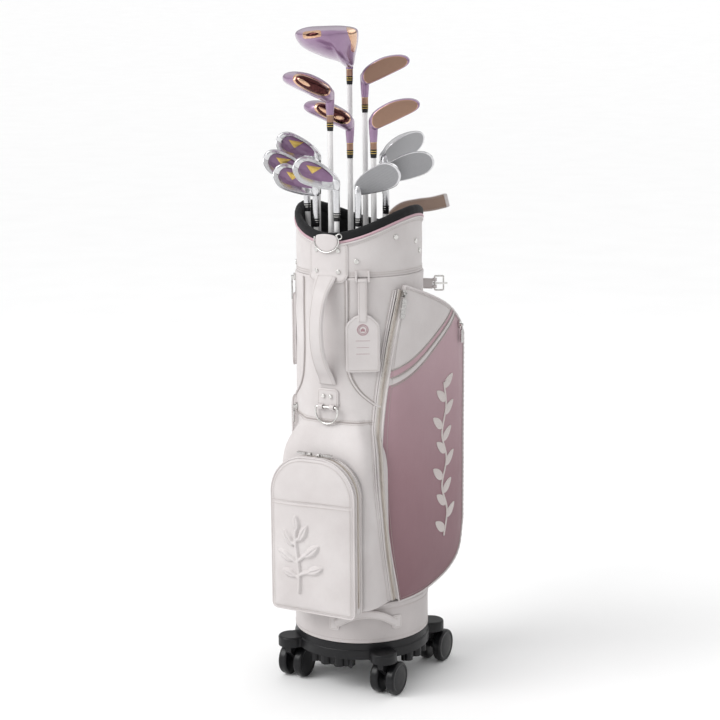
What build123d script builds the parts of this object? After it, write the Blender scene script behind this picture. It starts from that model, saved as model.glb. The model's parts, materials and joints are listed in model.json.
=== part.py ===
from build123d import *
from math import cos, hypot, pi, radians, sin, tan
import os

os.makedirs("parts", exist_ok=True)

# Golf club set: a cart bag on four twin-wheel casters, holding twelve upside-down clubs.
# Millimetres, +Z up, floor at Z = 0, bag axis on Z, the spine with the grab handle faces -Y.

# ---- driving dimensions ----
WHEEL_R = 31.0
WHEEL_W = 19.0
WHEEL_GAP = 14.0
SWIVEL_POS = 99.0
TRAIL = 20.0
BASE_R = 129.0
BASE_BOTTOM = 68.0
POD_TOP = 87.0
BASE_TOP = 98.5
POD_R = 25.0
SKIRT_BOTTOM = 50.0
CUP_R = 127.0
CUP_TOP = 175.0
FLOOR_TOP = 105.0
BODY_R = 119.0
BODY_WALL = 6.0
BODY_TOP = 782.5
CUFF_R = 115.0
CUFF_WALL = 5.0
CUFF_BOTTOM = 783.0
RIM_MEAN = 883.0
RIM_WAVE = 22.0
RIM_R = 7.0
SEAM_Z = 518.0
FRONT_Y = -150.0
FRONT_HALF = 98.0
POCKET_Y = -190.0
POCKET_TOP = 461.0
VIEW_TURN = 28.6
SPINE_TURN = -1.0
TAG_TURN = 31.0
GAP = 0.3


def save(piece, name):
    """Label a finished piece and write its STEP file."""
    piece.label = name
    export_step(piece, f"parts/{name}.step")


def at_turn(radius, turn, z):
    """Point at an angle from -Y towards +X."""
    return Vector(radius * sin(radians(turn)), -radius * cos(radians(turn)), z)


def face_plane(radius, turn, z, lean=0.0):
    """Plane tangent to the bag: local X runs round it, local Y up, normal outwards."""
    a = radians(turn)
    outward = Vector(sin(a) * cos(radians(lean)), -cos(a) * cos(radians(lean)), sin(radians(lean)))
    return Plane(origin=at_turn(radius, turn, z), x_dir=(cos(a), sin(a), 0), z_dir=outward)


def rim_height(x, y):
    """Height of the saddle-shaped rim, highest at both sides."""
    return RIM_MEAN + RIM_WAVE * (x * x - y * y) / CUFF_R**2


def ring_sector(inner, outer, turn_from, turn_to, z_from, z_to):
    """Curved plate between two radii, heights and turns about the bag axis."""
    with BuildPart() as sector:
        with BuildSketch(Plane.XZ.rotated((0, 0, turn_from - 90))):
            with Locations(((inner + outer) / 2, (z_from + z_to) / 2)):
                Rectangle(outer - inner, z_to - z_from)
        revolve(axis=Axis.Z, revolution_arc=turn_to - turn_from)
    return sector.part


# ---- running gear ----
SKIRT_R = 118.0
SKIRT_WALL = 6.0
RIB_R = 10.0
STEM_R = 5.0
STEM_BORE_R = 5.05
STEM_TOP = 84.0
SWIVEL_SWEEP = 60.0
AXLE_R = 3.0
AXLE_BORE_R = 3.05
CASTERS = {"front_left": (-1, -1), "front_right": (1, -1), "back_right": (1, 1), "back_left": (-1, 1)}
SWIVELS = [(sx * SWIVEL_POS, sy * SWIVEL_POS) for sx, sy in CASTERS.values()]

with BuildPart() as caster_base:
    with BuildSketch(Plane.XY.offset(BASE_BOTTOM)):
        Circle(BASE_R)
        for turn in (45, -45):
            Rectangle(2 * hypot(SWIVEL_POS, SWIVEL_POS), 1.9 * POD_R, rotation=turn)
        with Locations(*SWIVELS):
            Circle(POD_R)
    extrude(amount=POD_TOP - BASE_BOTTOM)
    fillet(caster_base.edges().group_by(Axis.Z)[-1], 4.0)
    with BuildSketch(Plane.XY.offset(POD_TOP - 6)):
        Circle(BASE_R - 2)
    extrude(amount=BASE_TOP - POD_TOP + 6)
    with BuildSketch(Plane.XY.offset(SKIRT_BOTTOM)):
        Circle(SKIRT_R)
        Circle(SKIRT_R - SKIRT_WALL, mode=Mode.SUBTRACT)
        with PolarLocations(SKIRT_R - 2, 26):
            Circle(RIB_R)
    extrude(amount=BASE_BOTTOM - SKIRT_BOTTOM)
    with BuildSketch(Plane.XY.offset(SKIRT_BOTTOM)):
        with Locations(*SWIVELS):
            Circle(SWIVEL_SWEEP)
    extrude(amount=BASE_BOTTOM - SKIRT_BOTTOM, mode=Mode.SUBTRACT)
    with BuildSketch(Plane.XY.offset(BASE_BOTTOM)):
        with Locations(*SWIVELS):
            Circle(STEM_BORE_R)
    extrude(amount=STEM_TOP + 1 - BASE_BOTTOM, mode=Mode.SUBTRACT)
save(caster_base.part, "caster_base")

FORK_TOP = BASE_BOTTOM - 1.0
FORK_W = WHEEL_GAP - 2.5
for name, (sx, sy) in CASTERS.items():
    x0, y0 = sx * SWIVEL_POS, sy * SWIVEL_POS
    with BuildPart() as fork:
        with BuildSketch(Plane.YZ.offset(x0 - FORK_W / 2)):
            with BuildLine():
                Polyline(
                    (y0 - 13, FORK_TOP),
                    (y0 + 15, FORK_TOP),
                    (y0 + TRAIL + 9, WHEEL_R + 6),
                    (y0 + TRAIL + 6, WHEEL_R - 8),
                    (y0 + TRAIL - 6, WHEEL_R - 8),
                    (y0 + TRAIL - 11, WHEEL_R + 6),
                    (y0 - 13, FORK_TOP - 12),
                    close=True,
                )
            make_face()
        extrude(amount=FORK_W)
        fillet(fork.edges().filter_by(Axis.X), 3.0)
        with BuildSketch(Plane.XY.offset(FORK_TOP - 8)):
            with Locations((x0, y0)):
                Circle(STEM_R)
        extrude(amount=STEM_TOP - FORK_TOP + 8)
        with BuildSketch(Plane.YZ.offset(x0 - FORK_W)):
            with Locations((y0 + TRAIL, WHEEL_R)):
                Circle(AXLE_BORE_R)
        extrude(amount=2 * FORK_W, mode=Mode.SUBTRACT)
    save(fork.part, f"caster_fork_{name}")

    with BuildPart() as wheels:
        for side in (-1, 1):
            inner = x0 + side * WHEEL_GAP / 2
            with BuildSketch(Plane.YZ.offset(inner)):
                with Locations((y0 + TRAIL, WHEEL_R)):
                    Circle(WHEEL_R)
            extrude(amount=side * WHEEL_W)
        fillet(wheels.edges().filter_by(GeomType.CIRCLE), 4.0)
        with BuildSketch(Plane.YZ.offset(x0 - WHEEL_GAP / 2)):
            with Locations((y0 + TRAIL, WHEEL_R)):
                Circle(AXLE_R)
        extrude(amount=WHEEL_GAP)
    save(wheels.part, f"caster_wheels_{name}")

# ---- bag shells ----
with BuildPart() as foot_cup:
    with BuildSketch(Plane.XY.offset(BASE_TOP)):
        Circle(CUP_R)
    extrude(amount=CUP_TOP - BASE_TOP)
    fillet(foot_cup.edges().group_by(Axis.Z)[-1], 2.0)
    with BuildSketch(Plane.XY.offset(FLOOR_TOP)):
        Circle(BODY_R + 0.2)
    extrude(amount=CUP_TOP - FLOOR_TOP, mode=Mode.SUBTRACT)
save(foot_cup.part, "foot_cup")

# Sections of the flared lower front: height, front Y, half width.
FLARE = ((CUP_TOP + 0.5, FRONT_Y, FRONT_HALF), (400, FRONT_Y, FRONT_HALF), (468, -143, 94), (SEAM_Z, -104, 55))
with BuildPart() as body_shell:
    for z, front, half in FLARE:
        with BuildSketch(Plane.XY.offset(z)):
            with Locations((0, front / 2)):
                RectangleRounded(2 * half, -front, 22)
    loft(ruled=True)
    with BuildSketch(Plane.XY.offset(FLOOR_TOP)):
        Circle(BODY_R)
    extrude(amount=BODY_TOP - FLOOR_TOP)
    with BuildSketch(Plane.XY.offset(FLOOR_TOP)):
        Circle(BODY_R - BODY_WALL)
    extrude(amount=BODY_TOP - FLOOR_TOP, mode=Mode.SUBTRACT)
save(body_shell.part, "body_shell")

# The rim follows a saddle; this face cuts the top of the cuff.
SADDLE_HALF = 140.0
saddle_points = [
    [
        Vector(x, y, rim_height(x, y) - 2 * RIM_R - 1.8)
        for y in (-SADDLE_HALF, -SADDLE_HALF / 2, 0, SADDLE_HALF / 2, SADDLE_HALF)
    ]
    for x in (-SADDLE_HALF, -SADDLE_HALF / 2, 0, SADDLE_HALF / 2, SADDLE_HALF)
]
with BuildPart() as above_rim:
    extrude(to_extrude=Face.make_surface_from_array_of_points(saddle_points), amount=200, dir=(0, 0, 1))

with BuildPart() as cuff:
    with BuildSketch(Plane.XY.offset(CUFF_BOTTOM)):
        Circle(CUFF_R)
        Circle(CUFF_R - CUFF_WALL, mode=Mode.SUBTRACT)
    extrude(amount=RIM_MEAN + RIM_WAVE - CUFF_BOTTOM + 10)
    add(above_rim.part, mode=Mode.SUBTRACT)
save(cuff.part, "cuff")


def rim_ring(radius, drop, section_r):
    """Closed ring of round section that follows the rim at a given drop below its crest line."""
    with BuildPart() as ring:
        for quarter in range(4):
            for i in range(7):
                a = quarter * pi / 2 + i * pi / 12
                centre = Vector(radius * cos(a), radius * sin(a), RIM_MEAN + RIM_WAVE * cos(2 * a) - drop)
                along = Vector(-radius * sin(a), radius * cos(a), -2 * RIM_WAVE * sin(2 * a))
                with BuildSketch(Plane(origin=centre, x_dir=(cos(a), sin(a), 0), z_dir=along)):
                    Circle(section_r)
            loft()
    return ring.part


save(rim_ring(CUFF_R - CUFF_WALL / 2, RIM_R, RIM_R), "rim_binding")
PIPE_R = 2.0
PIPE_SEAT = CUFF_R + PIPE_R + 0.4
piping = Compound(children=[rim_ring(PIPE_SEAT, drop, PIPE_R) for drop in (17, 22)])
save(piping, "rim_piping")

DIVIDER_Z = 812.0
DIVIDER_H = 24.0
BARS = (-70.5, -10.0)
with BuildPart() as divider:
    with BuildSketch(Plane.XY.offset(DIVIDER_Z)):
        for depth in BARS:
            with Locations(Location((-depth * sin(radians(VIEW_TURN)), depth * cos(radians(VIEW_TURN)), 0))):
                Rectangle(2 * CUFF_R, 5.0, rotation=VIEW_TURN)
        Circle(CUFF_R - CUFF_WALL, mode=Mode.INTERSECT)
    extrude(amount=DIVIDER_H)
save(divider.part, "divider")

# ---- pockets ----
ARCH_LEFT = -86.0
ARCH_RIGHT = 84.0
ARCH_R = 70.0
with BuildPart() as front_pocket:
    with BuildSketch(Plane.XZ.offset(-FRONT_Y + GAP)):
        with BuildLine():
            Polyline(
                (ARCH_LEFT, POCKET_TOP - ARCH_R), (ARCH_LEFT, CUP_TOP - 3), (ARCH_RIGHT, CUP_TOP - 3),
                (ARCH_RIGHT, POCKET_TOP - ARCH_R),
            )
            RadiusArc((ARCH_RIGHT, POCKET_TOP - ARCH_R), (ARCH_RIGHT - ARCH_R, POCKET_TOP), -ARCH_R)
            Line((ARCH_RIGHT - ARCH_R, POCKET_TOP), (ARCH_LEFT + ARCH_R, POCKET_TOP))
            RadiusArc((ARCH_LEFT + ARCH_R, POCKET_TOP), (ARCH_LEFT, POCKET_TOP - ARCH_R), -ARCH_R)
        make_face()
    extrude(amount=FRONT_Y - POCKET_Y)
    fillet(front_pocket.faces().sort_by(Axis.Y)[0].edges(), 9.0)
save(front_pocket.part, "front_pocket")

# Garment pocket: plan of its outer skin, and side outline as (Y, Z).
GARMENT_SKIN = ((84, -90), (113, -60), (133, -15), (144, 45), (149, 100), (147, 139))
with BuildPart() as garment_pocket:
    with BuildSketch(Plane.XY.offset(CUP_TOP - 3)):
        with BuildLine():
            Spline(*GARMENT_SKIN)
            Polyline(GARMENT_SKIN[-1], (126, 143), (58, 110), (20, 20), GARMENT_SKIN[0])
        make_face()
    extrude(amount=600)
    with BuildSketch(Plane.YZ):
        with BuildLine():
            Spline((-47, 765), (-70, 640), (-84, 470), (-76, 300), (-61, 174))
            Spline((-61, 174), (0, 184), (75, 205), (122, 236), (140, 285))
            Line((140, 285), (140, 655))
            Spline((140, 655), (115, 685), (60, 722), (-47, 765))
        make_face()
    extrude(amount=200, mode=Mode.INTERSECT)
    with BuildSketch(Plane.XY.offset(CUP_TOP - 10)):
        Circle(BODY_R + GAP)
        with Locations((0, -90)):
            Rectangle(2 * FRONT_HALF + 1, 62)
    extrude(amount=SEAM_Z - CUP_TOP, mode=Mode.SUBTRACT)
    with BuildSketch(Plane.XY.offset(SEAM_Z - 20)):
        Circle(BODY_R + GAP)
    extrude(amount=BODY_TOP - SEAM_Z + 20, mode=Mode.SUBTRACT)
    with BuildSketch(Plane.XY.offset(100)):
        Circle(CUP_R + GAP)
    extrude(amount=CUP_TOP - 99, mode=Mode.SUBTRACT)
save(garment_pocket.part, "garment_pocket")

side_pockets = [
    ring_sector(BODY_R + GAP, BODY_R + 9, -108, -62, 600, 735),
    ring_sector(BODY_R + GAP, BODY_R + 13, -118, -60, 182, 540),
]
with BuildPart() as lower_side:
    add(side_pockets[1])
    with BuildSketch(Plane.XY.offset(CUP_TOP)):
        with Locations((0, FRONT_Y / 2)):
            Rectangle(2 * FRONT_HALF + 1, -FRONT_Y)
    extrude(amount=SEAM_Z - CUP_TOP, mode=Mode.SUBTRACT)
valuables = ring_sector(BODY_R + GAP, BODY_R + 4, 17.6, 47, 548, 770)
save(Compound(children=[side_pockets[0], lower_side.part, valuables]), "flat_pockets")

# ---- handle, ring, tag ----
PATCH_HALF = 17.0
patch = ring_sector(CUFF_R + 0.2, CUFF_R + 2.6, SPINE_TURN - PATCH_HALF, SPINE_TURN + PATCH_HALF, 785, 833)
save(patch, "handle_patch")

HANDLE_PATH = ((-121, 779), (-142, 762), (-158, 730), (-163, 690), (-157, 650), (-140, 620), (-121, 603))
HANDLE_W = 31.0
HANDLE_T = 9.0
with BuildPart() as grab_handle:
    with BuildLine(Plane.XY) as grab_line:
        Spline(*[(0, y, z) for y, z in HANDLE_PATH])
    with BuildSketch(Plane(origin=grab_line.line @ 0, x_dir=(1, 0, 0), z_dir=grab_line.line % 0)):
        RectangleRounded(HANDLE_W, HANDLE_T, 3.5)
    sweep()
    with BuildSketch(Plane.XY.offset(560)):
        Circle(BODY_R + GAP)
    extrude(amount=300, mode=Mode.SUBTRACT)
save(grab_handle.part.rotate(Axis.Z, SPINE_TURN), "grab_handle")

RING_Z = 545.0
RING_WIRE = 2.0
RING_HALF = 23.0
RING_OUT = BODY_R + 6.0
with BuildPart() as ring_tab:
    with BuildSketch(face_plane(BODY_R + 0.6, SPINE_TURN, RING_Z + 14)):
        RectangleRounded(40, 34, 6)
    extrude(amount=2.5)
    with BuildSketch(Plane(origin=at_turn(RING_OUT, SPINE_TURN, RING_Z), x_dir=(0, 0, 1),
                           z_dir=(cos(radians(SPINE_TURN)), sin(radians(SPINE_TURN)), 0))):
        Circle(4.2)
    extrude(amount=13, both=True)
    with BuildSketch(Plane(origin=at_turn(RING_OUT, SPINE_TURN, RING_Z), x_dir=(0, 0, 1),
                           z_dir=(cos(radians(SPINE_TURN)), sin(radians(SPINE_TURN)), 0))):
        Circle(RING_WIRE + 0.06)
    extrude(amount=40, both=True, mode=Mode.SUBTRACT)
save(ring_tab.part, "ring_tab")

with BuildPart() as d_ring:
    with BuildLine(face_plane(RING_OUT, SPINE_TURN, RING_Z)) as ring_line:
        Line((-RING_HALF + 4, 0), (RING_HALF - 4, 0))
        RadiusArc((RING_HALF - 4, 0), (RING_HALF, -4), 4)
        Line((RING_HALF, -4), (RING_HALF, -8))
        ThreePointArc((RING_HALF, -8), (0, -8 - RING_HALF), (-RING_HALF, -8))
        Line((-RING_HALF, -8), (-RING_HALF, -4))
        RadiusArc((-RING_HALF, -4), (-RING_HALF + 4, 0), 4)
    with BuildSketch(Plane(origin=ring_line.line @ 0, z_dir=ring_line.line % 0)):
        Circle(RING_WIRE)
    sweep()
save(d_ring.part, "d_ring")

TAG_HINGE_Z = 778.0
TAG_R = 127.0
TAG_W = 62.0
TAG_TOP = 716.0
TAG_BOTTOM = 612.0
TAG_T = 3.0
KEEPER_BAR = 1.5


def tag_axis(radius, z):
    """Plane across the tag's hinge line."""
    return Plane(origin=at_turn(radius, TAG_TURN, z), x_dir=(0, 0, 1),
                 z_dir=(cos(radians(TAG_TURN)), sin(radians(TAG_TURN)), 0))


with BuildPart() as tag_keeper:
    with BuildSketch(face_plane(CUFF_R + 1.0, TAG_TURN, 790)):
        RectangleRounded(26, 12, 2)
    extrude(amount=2)
    with BuildSketch(tag_axis(TAG_R - 4, TAG_HINGE_Z)):
        with Locations((12.0, -3.3)):
            Rectangle(12, 8.6)
        with Locations((3.0, -1.2)):
            Rectangle(10, 4.4)
        Circle(3)
    extrude(amount=13, both=True)
    with BuildSketch(tag_axis(TAG_R - 4, TAG_HINGE_Z)):
        with Locations((3, 0)):
            Rectangle(32, 40)
    extrude(amount=9.5, both=True, mode=Mode.SUBTRACT)
    with BuildSketch(tag_axis(TAG_R - 4, TAG_HINGE_Z)):
        Circle(KEEPER_BAR)
    extrude(amount=10, both=True)
    with BuildSketch(face_plane(CUFF_R + 0.2, TAG_TURN, 790)):
        Rectangle(26, 12)
    extrude(amount=3)
save(tag_keeper.part, "tag_keeper")

with BuildPart() as name_tag:
    with BuildSketch(face_plane(TAG_R - 4, TAG_TURN, TAG_HINGE_Z)):
        with Locations((0, (TAG_TOP - TAG_HINGE_Z) / 2 - 1)):
            Rectangle(16.4, TAG_HINGE_Z - TAG_TOP + 4)
    extrude(amount=2.2)
    with BuildSketch(face_plane(TAG_R - 4, TAG_TURN, TAG_HINGE_Z)):
        with BuildLine():
            Polyline(
                (-13, TAG_TOP - TAG_HINGE_Z), (13, TAG_TOP - TAG_HINGE_Z),
                (TAG_W / 2, TAG_TOP - TAG_HINGE_Z - 16), (TAG_W / 2, TAG_BOTTOM - TAG_HINGE_Z),
                (-TAG_W / 2, TAG_BOTTOM - TAG_HINGE_Z), (-TAG_W / 2, TAG_TOP - TAG_HINGE_Z - 16), close=True,
            )
        make_face()
    extrude(amount=TAG_T)
    with BuildSketch(tag_axis(TAG_R - 4, TAG_HINGE_Z)):
        Circle(3.4)
    extrude(amount=8.5, both=True)
    with BuildSketch(tag_axis(TAG_R - 4, TAG_HINGE_Z)):
        Circle(KEEPER_BAR + 0.05)
    extrude(amount=20, both=True, mode=Mode.SUBTRACT)
save(name_tag.part, "name_tag")

# ---- zips ----
EAR_GAP = 3.4
PIN_R = 0.9


def zip_slider(plane):
    """Slider body with two ears and a pin; local X across, Y up the zip, Z outwards."""
    with BuildPart() as slider:
        with BuildSketch(Plane.XY):
            RectangleRounded(9, 13, 2.5)
        extrude(amount=3.5)
        with BuildSketch(Plane.YZ.offset(-4)):
            with Locations((0, 5)):
                Rectangle(4.4, 5)
        extrude(amount=8)
        with BuildSketch(Plane.YZ.offset(-EAR_GAP / 2)):
            with Locations((0, 7.0)):
                Rectangle(10, 7)
        extrude(amount=EAR_GAP, mode=Mode.SUBTRACT)
        with BuildSketch(Plane.YZ.offset(-3)):
            with Locations((0, 5.5)):
                Circle(PIN_R)
        extrude(amount=6)
    return slider.part.moved(plane.location)


def zip_pull(plane, length, width=9.0):
    """Pull tab that hangs from the slider's pin."""
    with BuildPart() as pull:
        with BuildSketch(Plane.YZ.offset(-1.3)):
            with Locations((0, 5.5)):
                Circle(1.9)
            with Locations((-4, 6.2)):
                Rectangle(8, 2.2)
        extrude(amount=2.6)
        with BuildSketch(Plane.XY.offset(5.1)):
            with Locations((0, -8 - (length - 8) / 2)):
                RectangleRounded(width, length - 8, 3)
        extrude(amount=2.4)
        with BuildSketch(Plane.YZ.offset(-5)):
            with Locations((0, 5.5)):
                Circle(PIN_R + 0.05)
        extrude(amount=10, mode=Mode.SUBTRACT)
    return pull.part.moved(plane.location)


zips = {
    "garment_far": (Plane(origin=(151.3, 112, 672), x_dir=(0.06, 1, 0), z_dir=(1, -0.06, 0)), 34),
    "front_left": (Plane(origin=(-11, -170, POCKET_TOP + 0.4), x_dir=(0, -1, 0), z_dir=(0, 0, 1)), 27),
    "front_right": (Plane(origin=(7, -170, POCKET_TOP + 0.4), x_dir=(0, 1, 0), z_dir=(0, 0, 1)), 27),
    "side_upper": (face_plane(BODY_R + 0.4, -53, 772), 42),
    "side_lower": (face_plane(BODY_R + 0.4, -52, 528), 30),
}
for name, (plane, length) in zips.items():
    save(zip_pull(plane, length), f"zip_pull_{name}")

TRACK_TOP = Vector(115.3, -50, 752)
TRACK_END = Vector(107.0, -72, 632)
track_dir = (TRACK_TOP - TRACK_END).normalized()
track_out = Vector(0.86, -0.51, 0)
track_across = track_dir.cross(track_out).normalized()
track = Plane(origin=TRACK_TOP + track_out * 4.0, x_dir=track_across, z_dir=track_across.cross(track_dir))
save(zip_slider(track), "zip_slider_garment")
save(zip_pull(track, 46, 10), "zip_pull_garment")

# ---- fixed metal: rivets, snap studs, fixed zip sliders ----
STUD_R = 5.0
STUD_H = 3.0


def stud(radius, turn, z, size=STUD_R, height=STUD_H):
    """Domed stud on the bag's side."""
    with BuildPart() as one:
        with BuildSketch(face_plane(radius, turn, z)):
            Circle(size)
        extrude(amount=height)
        fillet(one.faces().sort_by(Axis((0, 0, 0), at_turn(1, turn, 0)))[-1].edges(), height * 0.45)
    return one.part


metal = [zip_slider(plane) for plane, length in zips.values()]
for turn, z in ((26, 812), (63, 853), (90, 841), (99, 822), (-61, 797)):
    metal.append(stud(CUFF_R + 0.2, turn, z))
for turn in (SPINE_TURN - 11, SPINE_TURN + 11):
    for z in (793, 831):
        metal.append(stud(CUFF_R + 2.8, turn, z, 4.2, 2.4))
for turn in (SPINE_TURN - 3.4, SPINE_TURN + 3.4):
    metal.append(stud(BODY_R + 0.8, turn, 590, 3.8, 2.6))
    metal.append(stud(BODY_R + 4.0, turn, RING_Z + 20, 3.8, 2.4))
save(Compound(children=metal), "metal_fittings")

# ---- low carry loop ----
LOOP_TURNS = (6, 10, 20, 32, 44, 54, 58)
LOOP_OUT = (2.6, 3.4, 11, 14, 11, 3.4, 2.6)
LOOP_RISE = (136, 140, 154, 160, 154, 140, 136)
with BuildPart() as carry_loop:
    with BuildLine() as loop_line:
        Spline(*[at_turn(CUP_R + out, turn, z) for turn, out, z in zip(LOOP_TURNS, LOOP_OUT, LOOP_RISE)])
    with BuildSketch(Plane(origin=loop_line.line @ 0, x_dir=at_turn(1, LOOP_TURNS[0], 0),
                           z_dir=loop_line.line % 0)):
        RectangleRounded(3.6, 15, 1.5)
    sweep()
    with BuildSketch(Plane.XY.offset(BASE_TOP)):
        Circle(CUP_R + 0.2)
    extrude(amount=90, mode=Mode.SUBTRACT)
save(carry_loop.part, "carry_loop")

# ---- shoulder strap ends ----
def view_point(across, depth, z):
    """Point from its distance across and away, measured on axes turned with the strap and clubs."""
    a = radians(VIEW_TURN)
    return Vector(across * cos(a) - depth * sin(a), across * sin(a) + depth * cos(a), z)


def strap_plane(depth):
    """Upright plane at a depth: local X across, local Y up, normal towards the spine."""
    a = radians(VIEW_TURN)
    return Plane(origin=view_point(0, depth, 0), x_dir=(cos(a), sin(a), 0), z_dir=(sin(a), -cos(a), 0))


STRAP_DEPTH = 130.0
STRAP_W = 28.0
STRAP_T = 7.0
STRAP_POINTS = ((58, 838), (64, 862), (84, 880), (112, 886), (142, 890), (172, 897))
with BuildPart() as strap_upper:
    with BuildSketch(strap_plane(STRAP_DEPTH)):
        with BuildLine() as strap_line:
            Spline(*STRAP_POINTS)
        trace(line_width=STRAP_W)
    extrude(amount=STRAP_T)
    with BuildSketch(strap_plane(STRAP_DEPTH)):
        with Locations((56, 836)):
            RectangleRounded(34, 34, 6)
    extrude(amount=26.5)
    with BuildSketch(Plane.XY.offset(780)):
        Circle(CUFF_R + 6)
    extrude(amount=200, mode=Mode.SUBTRACT)
    with BuildSketch(Plane.XY.offset(815)):
        with Locations(view_point(57, 100, 0)):
            Rectangle(20, 20, rotation=VIEW_TURN)
    extrude(amount=20)
    with BuildSketch(Plane.XY.offset(780)):
        Circle(CUFF_R + 0.3)
    extrude(amount=200, mode=Mode.SUBTRACT)

BELT_Z = 746.0
BELT_DEPTH = 62.0
BELT_W = 20.0
BELT_END = 138.0
BUCKLE_WIRE = 1.6
BAR_AT = view_point(BELT_END + 4.2, BELT_DEPTH, 0)
with BuildPart() as strap_belt:
    with BuildSketch(Plane(origin=view_point(0, BELT_DEPTH, BELT_Z), x_dir=strap_plane(0).x_dir, z_dir=(0, 0, 1))):
        with Locations((BELT_END / 2 + 51, 0)):
            Rectangle(BELT_END - 98, 4)
        with Locations((BELT_END + 4.2, 0)):
            Circle(3.6)
    extrude(amount=BELT_W / 2, both=True)
    with BuildSketch(Plane(origin=view_point(BELT_END + 4.2, BELT_DEPTH, BELT_Z), z_dir=(0, 0, 1))):
        Circle(4.2)
    extrude(amount=2.8, both=True, mode=Mode.SUBTRACT)
    with BuildSketch(Plane(origin=view_point(BELT_END + 4.2, BELT_DEPTH, BELT_Z), z_dir=(0, 0, 1))):
        Circle(BUCKLE_WIRE + 0.06)
    extrude(amount=BELT_W, both=True, mode=Mode.SUBTRACT)
    with BuildSketch(Plane.XY.offset(700)):
        Circle(BODY_R + GAP)
    extrude(amount=100, mode=Mode.SUBTRACT)
save(Compound(children=[strap_upper.part, strap_belt.part]), "shoulder_strap")

with BuildPart() as belt_buckle:
    with BuildLine(strap_plane(BELT_DEPTH)) as buckle_line:
        FilletPolyline(
            (BELT_END + 4.2, BELT_Z + 13.5), (BELT_END + 21, BELT_Z + 13.5),
            (BELT_END + 21, BELT_Z - 13.5), (BELT_END + 4.2, BELT_Z - 13.5), close=True, radius=2.2,
        )
    with BuildSketch(Plane(origin=buckle_line.line @ 0, z_dir=buckle_line.line % 0)):
        Circle(BUCKLE_WIRE)
    sweep()
save(belt_buckle.part, "belt_buckle")

with BuildPart() as buckle_prong:
    with BuildSketch(Plane(origin=view_point(BELT_END + 4.2, BELT_DEPTH, BELT_Z), x_dir=strap_plane(0).x_dir,
                           z_dir=(0, 0, 1))):
        Circle(3.0)
        with Locations((12, -3.1)):
            Rectangle(24, 2.0)
    extrude(amount=1.6, both=True)
    with BuildSketch(Plane(origin=view_point(BELT_END + 4.2, BELT_DEPTH, BELT_Z), z_dir=(0, 0, 1))):
        Circle(BUCKLE_WIRE + 0.06)
    extrude(amount=5, both=True, mode=Mode.SUBTRACT)
save(buckle_prong.part, "buckle_prong")

# ---- clubs ----
# Local frame of a club: grip down, hosel on Z, Z = 0 at the ferrule's top, toe towards +X, face towards -Y.
HOSEL_R = 6.2
TIP_R = 4.3
BUTT_R = 7.0
SHAFT_IN_HOSEL = 24.0
FERRULE_L = 15.0
GRIP_L = 262.0
GRIP_TOP_R = 8.5
GRIP_END_R = 12.8
STAND_Z = FLOOR_TOP + 1.5

# Outlines seen along the face as (towards the toe, above the ferrule): heel, sole side, toe, crown side.
DRIVER_OUTLINE = (
    (-6, 24), (-11, 43), (-16, 67), (-14, 86), (12, 92), (45, 92), (77, 90), (97, 82), (99, 71), (84, 56), (52, 43),
    (23, 28), (5, 20),
)
FAIRWAY_OUTLINE = (
    (-7, 50), (-4, 61), (8, 73), (33, 86), (60, 91), (78, 88), (84, 79), (76, 69), (50, 56), (22, 43), (4, 36), (-5, 41),
)
IRON_OUTLINE = (
    (-7, 50), (-5, 61), (12, 79), (34, 93), (56, 99), (70, 92), (76, 79), (72, 64), (60, 53), (35, 46), (12, 42), (-4, 41),
)
IRON_SOLE_START = (-7, 61)


def outline_wire(points, centre, size, lift):
    """Closed curve through outline points, shrunk towards a centre."""
    cx, cz = centre
    return Spline(*[(cx + (x - cx) * size, cz + (z - cz) * size + lift) for x, z in points], periodic=True)


def hosel_cylinder(radius, height):
    """Upright cylinder on the shaft's axis: the hosel, or the blind bore in it."""
    with BuildPart() as cylinder:
        with BuildSketch(Plane.XY):
            Circle(radius)
        extrude(amount=height)
    return cylinder.part


def wood_head(outline, front, back, hosel, centre):
    """Hollow-wood style head lofted from face to tail, with its hosel."""
    stations = ((-front, 0.86, 0.0), (-0.5 * front, 0.97, 0.0), (0.2 * back, 1.0, 0.0),
                (0.6 * back, 0.84, 1.0), (0.87 * back, 0.60, 4.0), (back, 0.36, 7.0))
    with BuildPart() as head:
        for y, size, lift in stations:
            with BuildSketch(Plane.XZ.offset(-y)):
                with BuildLine():
                    outline_wire(outline, centre, size, lift)
                make_face()
        loft()
        add(hosel_cylinder(HOSEL_R, hosel))
        add(hosel_cylinder(TIP_R + 0.04, SHAFT_IN_HOSEL + 1), mode=Mode.SUBTRACT)
    return head.part


def iron_head(stretch, loft_angle, sole, hollow, rise):
    """Cavity-back blade: a constant section along the sole, trimmed to the outline, with its hosel."""
    lean = tan(radians(loft_angle))
    toe = Vector(cos(radians(rise)), 0, sin(radians(rise)))
    start = Vector(IRON_SOLE_START[0], 0, IRON_SOLE_START[1]) - toe * 30
    front = -0.45 * sole
    with BuildPart() as head:
        with BuildSketch(Plane(origin=start, x_dir=(0, 1, 0), z_dir=toe)):
            with BuildLine():
                Polyline(
                    (front, 1), (front - lean * 2, 3), (front + lean * 70, -70), (front + lean * 70 + 5, -70),
                    (front + lean * 40 + 6.5 - hollow, -40), (front + lean * 20 + 6.5 - hollow, -20),
                    (front + sole, -12), (front + sole, -3), (front + 0.6 * sole, 3), close=True,
                )
            make_face()
        extrude(amount=170)
        with BuildSketch(Plane.XZ.offset(-80)):
            with BuildLine():
                outline_wire([(x * stretch, z) for x, z in IRON_OUTLINE], (0, 60), 1.0, 0)
            make_face()
        extrude(amount=160, mode=Mode.INTERSECT)
        add(hosel_cylinder(HOSEL_R, 56))
        add(hosel_cylinder(TIP_R + 0.04, SHAFT_IN_HOSEL + 1), mode=Mode.SUBTRACT)
    return head.part


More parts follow.
